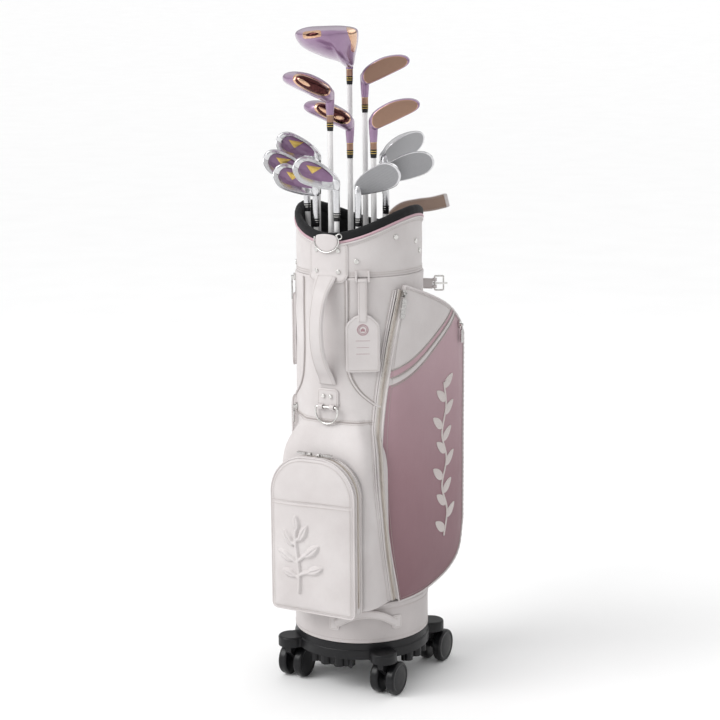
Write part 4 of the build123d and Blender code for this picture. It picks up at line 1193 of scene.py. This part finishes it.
strap.plate(tab_outline(34, 34, 7, 7), anchor_put, 12.0, 0.6, 0, edge=1.5)
BELT_DEPTH, BELT_Z = 62.0, 746.0
u = np.linspace(98, 138.5, 40)
belt = view_point(u, BELT_DEPTH, BELT_Z - 0.0008 * (u - 100) ** 2)
strap.sweep(belt + nearer * 0.5, nearer, rounded(20, 3.2, 1.4, 5), 0)
strap.sweep(belt - nearer * 1.6, nearer, rounded(18.4, 1.8, 0.8, 4), 1)
for s in (-7.4, 7.4):
    strap.stitches(belt + UP * s + nearer * 2.15, nearer, mat=2)
bar = view_point(142.2, BELT_DEPTH, BELT_Z)
u = np.linspace(math.pi * 0.72, math.pi * 2.28, 30)[:26]
for s in (-6.5, 6.5):
    hook = bar + np.outer(np.cos(u) * 3.4, across) + np.outer(np.sin(u) * 3.4, deep) + UP * s
    strap.sweep(hook, UP, rounded(1.4, 6.6, 0.6, 3), 0)
mats = [WHITE_FINE, BROWN, THREAD]
ends = strap.make("strap_ends", mats, nodes=("shoulder_strap",), slot="white_leather")

# ---------------------------------------------------------------- casters
INNER_FACE = ((0.02, 7.4), (10, 7.4), (22, 7.3), (27, 7.6), (29.8, 8.8))
OUTER_FACE = ((29.6, 24.0), (27.2, 24.9), (25.2, 24.7), (23.5, 24.2), (20, 24.6), (12, 25.4), (0.02, 25.7))
for name in ("front_left", "front_right", "back_right", "back_left"):
    low, high = (v * 1000 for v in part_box("caster_wheels_" + name))
    centre = (low + high) / 2
    radius = (high.z - low.z) / 2
    tread = ((radius, 11.5), (radius, 16.5), (radius, 21.2))
    profile = smooth(INNER_FACE + tread + OUTER_FACE, 110)
    wheels = Shape()
    for side in (-1, 1):
        rings = [circle(r, 96) + (centre.y, centre.z) for r, x in profile]
        ring_x = [np.full((96, 1), centre.x + side * x) for r, x in profile]
        wheels.grid(np.concatenate([ring_x, rings], 2), 0, around=True)
    axle = np.array([(centre.x + x, centre.y, centre.z) for x in np.linspace(-8, 8, 6)])
    wheels.sweep(axle, UP, circle(2.95, 24), 1)
    node_name = "caster_wheels_" + name
    wheels.make("wheels_" + name + "_cover", [WHEEL, NICKEL], "wheels_" + name, (node_name,), "wheel_black")

# ---------------------------------------------------------------- clubs
# outlines of the heads seen along Y, as (toe, up) in a club's own frame
DRIVER = (
    (-6.5, 19), (-11, 38), (-16.5, 67), (-14, 86), (12, 92), (45, 92), (77, 90),
    (97, 82), (98, 70), (83, 52), (49, 36), (20, 27), (7, 18),
)
FAIRWAY = (
    (-7, 50), (-4, 61), (8, 73), (33, 86), (60, 91), (78, 88),
    (84, 79), (76, 69), (50, 56), (22, 43), (4, 36), (-5, 41),
)
IRON = (
    (-7, 50), (-5, 60), (9, 76), (31, 91), (53, 100.5), (68, 98),
    (76.5, 87), (76, 73), (64, 57), (38, 47), (13, 42), (-4, 41),
)
WEDGE = (
    (-7, 48), (-6, 60), (3, 77), (21, 92), (43, 100), (61, 99),
    (73, 88), (75, 71), (64, 56), (39, 46), (14, 41), (-4, 40),
)
RIGHT, LEFT = VIEW_TURN, VIEW_TURN + 180
FERRULE_TALL = 24.0
GRIP_LONG = 262
FROM_FACE, FROM_BACK = -200, 300
joint_axis = {j["name"]: j["axis"] for j in frame["joints"] if j["name"].startswith("lift_")}


def club_frame(name, turn):
    """Axes of a club, its origin at the ferrule's top, and how far its grip reaches below that.

    X points to the toe and Z up the shaft's axis.
    """
    axis = unit(joint_axis["lift_" + name])
    mesh = frame["nodes"][name + "_shaft"].data
    co = np.array([v.co for v in mesh.vertices]) / MM
    height = co @ axis
    tip = co[height > height.max() - 0.5].mean(0)
    origin = tip + axis * (height.max() - FERRULE_TALL - tip @ axis)
    toe = level(turn)[0]
    toe = unit(toe - axis * (toe @ axis))
    drop = height.max() - FERRULE_TALL - height.min()
    return np.column_stack([toe, np.cross(axis, toe), axis]), origin, drop


class Club(Shape):
    """A shape whose points are given in a club's own frame."""

    def __init__(self, name, turn):
        super().__init__()
        self.turned, self.origin, self.drop = club_frame(name, turn)

    def add(self, points, faces, mat=0, depth=None):
        points = np.asarray(points, float).reshape(-1, 3)
        super().add(points @ self.turned.T + self.origin, faces, mat, depth)

    def local(self):
        """All points so far, in the club's frame."""
        return ((np.vstack(self.points) - self.origin) @ self.turned).tolist()

    def revolve(self, profile, mat=0, count=32):
        """Turned form from (radius, height); mat is one index or one per step."""
        rings = [np.column_stack([circle(r, count), np.full(count, z)]) for r, z in profile]
        self.grid(np.array(rings), mat, around=True)

    def fuse(self, voxel=1.1, rounds=7):
        """Joins what has been built into one skin and eases the places where the forms meet."""
        mesh = bpy.data.meshes.new("blend")
        mesh.from_pydata(self.local(), [], self.faces)
        made = bpy.data.objects.new("blend", mesh)
        bpy.context.scene.collection.objects.link(made)
        remesh = made.modifiers.new("skin", "REMESH")
        remesh.mode = "VOXEL"
        remesh.voxel_size = voxel
        skinned = made.evaluated_get(bpy.context.evaluated_depsgraph_get()).to_mesh()
        work = bmesh.new()
        work.from_mesh(skinned)
        axes = {"use_axis_x": True, "use_axis_y": True, "use_axis_z": True}
        for _ in range(rounds):
            bmesh.ops.smooth_vert(work, verts=work.verts, factor=0.5, **axes)
        points = [tuple(v.co) for v in work.verts]
        faces = [[v.index for v in f.verts] for f in work.faces]
        work.free()
        bpy.data.objects.remove(made)
        bpy.data.meshes.remove(mesh)
        self.clear()
        self.add(points, faces)

    def tree(self):
        """Ray tree of what has been built, in the club's frame."""
        return BVHTree.FromPolygons(self.local(), self.faces)

    def inlay(self, tree, outline, from_y, thick, crown, mat, rings=6, edge=0.8):
        """Thin plate laid on the surface, seen along Y from from_y."""
        heading = Vector((0, -1, 0)) if from_y > 0 else Vector((0, 1, 0))

        def put(a, b, h):
            out = []
            for x, z, up in zip(a, b, h):
                hit, normal, _, _ = tree.ray_cast(Vector((x, from_y, z)), heading)
                if hit is None:
                    hit, normal, _, _ = tree.find_nearest(Vector((x, 0, z)))
                if normal.dot(heading) > 0:
                    normal = -normal
                out.append(hit + normal * (up - 0.15))
            return np.array([tuple(p) for p in out])

        self.plate(outline, put, thick, crown, mat, edge=edge, back=False, rings=rings)


def shaft(name, turn, collar):
    """Tapered shaft, banded ferrule and grip."""
    club = Club(name, turn)
    drop = club.drop
    tube = [(4.3, 2), (4.3, -14.7), (4.95, -15.2), (5.1, -75)]
    tube += [(5.1 + 1.9 * s, -75 - (drop - 80) * s) for s in np.linspace(0.02, 1, 30)]
    club.revolve(tube, 0)
    sleeve_top = [(4.35, 0.3), (6.15, 0.25), (6.2, -0.3), (6.18, -2.2)]
    upper_band = [(6.35, -2.3), (6.35, -3.4), (6.12, -3.5), (6.05, -6.2)]
    lower_band = [(6.25, -6.3), (6.22, -7.3), (5.98, -7.4), (5.75, -11), (5.4, -14.8), (4.3, -15.0)]
    club.revolve(sleeve_top + upper_band + lower_band, [1, 1, 1, 1, 2, 1, 1, 1, 2, 1, 1, 1, 1])
    grip_top = -drop + GRIP_LONG
    grip = [(7.2, grip_top + 3), (8.6, grip_top + 2.4), (8.8, grip_top)]
    for k in range(60):
        s = (k + 1) / 61
        groove = 0.35 if k % 3 == 2 else 0.0
        grip.append((8.6 + 4.1 * s - groove, grip_top - GRIP_LONG * s + 2))
    grip += [(12.7, -drop + 2), (11.4, -drop + 0.05), (0.02, -drop + 0.05)]
    club.revolve(grip, 3)
    mats = [PEARL, FERRULE, collar, RUBBER]
    made = club.make(name + "_shaft_cover", mats, "club_" + name, (name + "_shaft",), "white_shaft")
    sharpen(made, 30)


def ellipse(cx, cz, a, b, tilt, power=2.0):
    """Outline of a tilted ellipse, squarer with a higher power."""
    u = turn_angles(60)
    x = a * np.sign(np.cos(u)) * np.abs(np.cos(u)) ** (2 / power)
    z = b * np.sign(np.sin(u)) * np.abs(np.sin(u)) ** (2 / power)
    x, z = turned_by(tilt, x, z)
    return np.stack([cx + x, cz + z], 1)


# share of the way back, size of the section there, and how far it is lifted
CROWN = (
    (0.2, 1.0, 0), (0.42, 0.94, 0.4), (0.6, 0.845, 1), (0.76, 0.72, 2.4),
    (0.88, 0.585, 4.1), (0.96, 0.45, 5.8), (1, 0.30, 7.0),
)


def wood(name, turn, points, front_y, back_y, hosel, centre, face_side):
    """Wood or hybrid head: crowned body, flared hosel with a collar, face plate where the face shows."""
    club = Club(name, turn)
    outline = smooth(points, 120, True)
    c = np.array(centre, float)
    first = (0.925, 0.965, 0.99) if face_side else (0.86, 0.93, 0.975)
    stations = [(-front_y * share, size, 0) for share, size in zip((1, 0.9, 0.5), first)]
    stations.append((0, 0.995, 0))
    stations += [(back_y * share, size, lift) for share, size, lift in CROWN]
    dense = smooth(stations, 46)
    rows = [np.repeat([[c[0], -front_y - 0.8, c[1]]], 120, 0)]
    for s in (0.25, 0.5, 0.75, 0.93):
        rows.append(upright(c + (outline - c) * first[0] * s, -front_y - 0.8 * (1 - s**2)))
    for y, size, lift in dense:
        rows.append(upright(c + (outline - c) * size + (0, lift), y))
    last_y, last_size, last_lift = dense[-1]
    for s in (0.8, 0.5, 0.2, 0.001):
        p = c + (outline - c) * last_size * s + (0, last_lift)
        rows.append(upright(p, last_y + 1.6 * (1 - s**2)))
    club.grid(np.array(rows), 0, around=True)
    foot = [(0.02, 12.9), (6.8, 12.9), (7.1, 18), (7.9, hosel * 0.56)]
    club.revolve(foot + [(8.6, hosel * 0.8), (8.8, hosel), (7.2, hosel + 5), (0.02, hosel + 8)], 0)
    club.fuse()
    tree = club.tree()
    collar = [(4.4, 0.2), (6.15, 0.2), (6.2, 1.0), (6.2, 11.5)]
    collar += [(6.45, 12.0), (6.45, 12.8), (6.3, 13.2), (6.2, 16)]
    club.revolve(collar, [6, 6, 6, 6, 4, 0, 0])
    if face_side:
        size = 0.885 if name == "hybrid_right" else 0.87
        club.inlay(tree, c + (outline - c) * size, FROM_FACE, 0.55, 0.0, 2, rings=9, edge=0.7)
        club.inlay(tree, c + (outline - c) * (size + 0.02), FROM_FACE, 0.3, 0.0, 1, rings=2, edge=0.5)
    return club, tree


HEADS = {
    "driver": (LEFT, DRIVER, 18, 82, 40, (40, 66), False),
    "fairway_left": (LEFT, FAIRWAY, 16, 58, 52, (36, 66), False),
    "fairway_right": (RIGHT, FAIRWAY, 16, 58, 52, (36, 66), True),
    "hybrid_left": (LEFT, FAIRWAY, 13, 40, 52, (36, 66), False),
    "hybrid_right": (RIGHT, FAIRWAY, 13, 40, 52, (36, 66), True),
}
HEEL = ((-10, 46), (-14, 66), (-12, 84), (4, 89.5), (2, 78), (-3, 62), (-4, 47))
WOOD_MATS = [VIOLET, ROSE, FACE_BROWN, MIRROR, GOLD, MIRROR, BRONZE]
# plates on the side away from the face: outline, thickness, crown, material, edge
DRIVER_PLATES = (
    (ellipse(67, 77, 17, 6.5, -6, power=5), 0.8, 0.2, 1, 1.0),
    (ellipse(66, 77, 12, 3.0, -6), 1.3, 0.3, 5, 0.6),
    (smooth(HEEL, 90, True), 0.5, 0.1, 1, 0.6),
)
SOLE_PLATES = (
    (ellipse(31, 68.5, 35, 12.5, 24, power=2.5), 0.9, 0.3, 1, 1.1),
    (ellipse(30, 68.2, 31.5, 9.8, 24, power=2.5), 1.25, 0.3, 3, 0.8),
    (ellipse(44, 73.5, 13, 3.0, 30), 1.9, 0.4, 1, 0.6),
)
HYBRID_PLATES = SOLE_PLATES + ((ellipse(19, 61.0, 9, 3.4, 12), 1.8, 0.4, 1, 0.6),)
PLATES = {"driver": DRIVER_PLATES, "fairway_left": SOLE_PLATES, "hybrid_left": HYBRID_PLATES}
for name, head in HEADS.items():
    club, tree = wood(name, *head)
    for outline, thick, crown, mat, edge in PLATES.get(name, ()):
        club.inlay(tree, outline, FROM_BACK, thick, crown, mat, edge=edge)
    node_names = (name + "_head",)
    made = club.make(name + "_head_cover", WOOD_MATS, "club_" + name, node_names, "violet_head", True)
    sharpen(made, 42)
    shaft(name, head[0], GOLD)


def iron(name, turn, stretch, loft, sole, hollow, rise, show_cavity):
    """Blade with a rounded sole, topline and toe; the back has a cavity with an insert."""
    club = Club(name, turn)
    outline = smooth([(x * stretch, z) for x, z in (IRON if show_cavity else WEDGE)], 150, True)
    lean = math.tan(math.radians(loft))
    toe = np.array((math.cos(math.radians(rise)), math.sin(math.radians(rise))))
    down = np.array((toe[1], -toe[0]))
    start = np.array((-7.0, 61.0))
    front = -0.45 * sole

    def sides(p):
        """Face and back Y of the blade under 2-D points, and their depth below the sole."""
        depth = (p - start) @ down
        behind_cavity = [lean * at + 6.5 - hollow for at in (20, 40)]
        thick = (0.6 * sole, 0.85 * sole, sole, sole, *behind_cavity, lean * 70 + 5)
        slab = np.interp(depth, (-3, 0, 3, 12, 20, 40, 70), thick)
        return front + lean * depth, front + slab, depth

    c = np.array((33.0 * stretch, 68.0))
    rows, depths = [], []

    def row(p, mix, push=0.0):
        """A ring at a share of the way from the face to the back."""
        face, back, depth = sides(p)
        rows.append(upright(p, face + (back - face) * mix + push))
        depths.append(depth)

    def ring(size, mix, push=0.0):
        row(c + (outline - c) * size, mix, push)

    face_sizes = (0.001, 0.2, 0.4, 0.6, 0.8, 0.88, 0.925)
    for size in face_sizes:
        ring(size, 0.0)
    for size, mix in ((0.965, 0.0), (0.985, 0.06), (0.995, 0.2)):
        ring(size, mix)
    row(outline, 0.42)
    row(outline, 0.62)
    for size, mix in ((0.99, 0.84), (0.972, 0.96), (0.95, 1.0)):
        ring(size, mix)
    slots = [1] * (len(face_sizes) - 1) + [0] * 8
    if show_cavity:
        for size, push in ((0.90, 0.2), (0.80, 0.1), (0.775, -0.6)):
            ring(size, 1.0, push)
        k = np.array((38.0 * stretch, 79.0))
        shrink = np.array((1.17, 1.0))
        cavity = ((0.625, -2.4), (0.61, -3.0), (0.57, -3.1), (0.42, -3.1), (0.21, -3.1), (0.001, -3.1))
        for s, push in cavity:
            row(k + (outline - k) * shrink * s, 1.0, push)
        slots += [0] * 5 + [2] * 4
    else:
        for size in (0.8, 0.55, 0.3, 0.001):
            ring(size, 1.0)
        slots += [0] * 4
    club.grid(np.array(rows), slots, around=True, depth=np.array(depths))
    tree = club.tree()
    neck = [(4.4, 0.2), (6.15, 0.2), (6.2, 1.0), (6.2, 30), (6.4, 42), (6.2, 52), (4.0, 57), (0.02, 58.5)]
    club.revolve(neck, 0)
    if show_cavity:
        x, z = turned_by(6, np.array((-14, 14, 2.0)), np.array((4.0, 6.5, -8.0)))
        triangle = np.stack([x + 40.0, z + 78.5], 1)
        pts = resample(np.vstack([triangle, triangle[:1]]), 60, True)
        club.inlay(tree, pts, FROM_BACK, 1.0, 0.3, 3, edge=0.6, rings=3)
        small = (pts - pts.mean(0)) * 0.6 + pts.mean(0)
        club.inlay(tree, small, FROM_BACK, 1.5, 0.2, 3, edge=0.5, rings=3)
    mats = [STEEL, FACE_GREY, INSERT, GOLD]
    node_names = (name + "_head",)
    made = club.make(name + "_head_cover", mats, "club_" + name, node_names, "iron_steel", True)
    sharpen(made, 40)
    shaft(name, turn, NICKEL)


BLADES = {
    "iron_a": (LEFT, 1.0, 21, 17, 3.0, 30, True),
    "iron_b": (LEFT, 1.0, 24, 17, 3.0, 30, True),
    "iron_c": (LEFT, 1.0, 27, 18, 3.0, 30, True),
    "iron_d": (LEFT, 1.0, 31, 18, 3.0, 30, True),
    "iron_e": (RIGHT - 24, 1.0, 36, 19, 3.0, 30, True),
    "wedge_f": (RIGHT + 22, 1.18, 44, 19, 0.0, 27, False),
    "wedge_g": (RIGHT, 1.2, 46, 20, 0.0, 26, False),
}
for name, blade in BLADES.items():
    iron(name, *blade)

# ---------------------------------------------------------------- finishes of the CAD nodes that stay
for name, obj in frame["nodes"].items():
    if obj.hide_render:
        continue
    if name.startswith("caster"):
        mat = BLACK
    elif name.startswith("zip"):
        mat = ZIP
    elif name == "tag_keeper":
        mat = WHITE_FINE
    else:
        mat = NICKEL
    obj.data.materials.clear()
    obj.data.materials.append(mat)

# ---------------------------------------------------------------- floor, light, camera
# lengths from here on are metres
floor_mat, tree, bsdf, where = new_material("floor", Specular_IOR_Level=0.2, Roughness=0.8)
paper = ramp(tree, noise_of(tree, where, 3.0), ((0.3, grey(0.93)), (0.7, grey(0.95))))
tree.links.new(paper, bsdf.inputs["Base Color"])
# a disc that rises like a bowl far behind the bag, so no horizon shows
SECTORS = 96
reach = np.r_[0.0001, 0.5, 1.0, 2.0, 4.0, 8.0, 12.0, np.linspace(14, 60, 24)]
rise = 6.0 * (np.clip(reach - 12.0, 0, None) / 48.0) ** 2
bowl = [(r * math.cos(t), r * math.sin(t), z) for r, z in zip(reach, rise) for t in turn_angles(SECTORS)]
steps = []
for first in range(0, SECTORS * (len(reach) - 1), SECTORS):
    for j in range(SECTORS):
        after = first + (j + 1) % SECTORS
        steps.append((first + j, after, after + SECTORS, first + j + SECTORS))
floor_mesh = bpy.data.meshes.new("floor")
floor_mesh.from_pydata(bowl, [], steps)
floor_mesh.polygons.foreach_set("use_smooth", [True] * len(steps))
floor = bpy.data.objects.new("floor", floor_mesh)
floor_mesh.materials.append(floor_mat)
bpy.context.scene.collection.objects.link(floor)

world = bpy.data.worlds.new("studio")
world.use_nodes = True
tree = world.node_tree
split = node(tree, "SeparateXYZ")
tree.links.new(tree.nodes.new("ShaderNodeTexCoord").outputs["Generated"], split.inputs[0])
greys = ((0.0, grey(0.30, 0.31)), (0.16, grey(0.36, 0.37)), (0.42, grey(0.85)), (1.0, grey(0.92)))
sky = ramp(tree, split.outputs["Z"], greys, "EASE")
tree.links.new(sky, tree.nodes["Background"].inputs["Color"])
tree.nodes["Background"].inputs["Strength"].default_value = 0.9
bpy.context.scene.world = world


def area(name, at, aim, size, power):
    """Soft area light at a point, turned to another."""
    data = bpy.data.lights.new(name, "AREA")
    data.shape = "RECTANGLE"
    data.size, data.size_y = size
    data.energy = power
    light = bpy.data.objects.new(name, data)
    light.location = at
    light.rotation_euler = (Vector(aim) - Vector(at)).to_track_quat("-Z", "Y").to_euler()
    bpy.context.scene.collection.objects.link(light)


area("key", (-2.2, -2.4, 1.9), (0, 0, 0.6), (1.0, 2.0), 22)
area("back", (0.6, 3.0, 2.6), (0, 0, 0.7), (2.0, 1.4), 8)
sun = bpy.data.objects.new("daylight", bpy.data.lights.new("daylight", "SUN"))
sun.data.energy = 1.35
sun.data.angle = math.radians(38)
sun.rotation_euler = Vector((0.50, 0.80, -0.90)).to_track_quat("-Z", "Y").to_euler()
bpy.context.scene.collection.objects.link(sun)

CAMERA_AWAY, CAMERA_Z = 3.160, 1.230
LOOK_DOWN, CAMERA_ROLL = 10.9, -0.42
camera = bpy.data.objects.new("camera", bpy.data.cameras.new("camera"))
camera.data.sensor_width = 36.0
camera.data.lens = 86.05
camera.data.shift_y = -0.008
turn = math.radians(VIEW_TURN)
camera.location = (CAMERA_AWAY * math.sin(turn), -CAMERA_AWAY * math.cos(turn), CAMERA_Z)
aim = Matrix.Rotation(turn, 4, "Z") @ Matrix.Rotation(math.radians(90 - LOOK_DOWN), 4, "X")
roll = Matrix.Rotation(math.radians(CAMERA_ROLL), 4, "Z")
camera.matrix_world = Matrix.Translation(camera.location) @ aim @ roll
bpy.context.scene.collection.objects.link(camera)
bpy.context.scene.camera = camera
bpy.context.scene.view_settings.view_transform = "Standard"
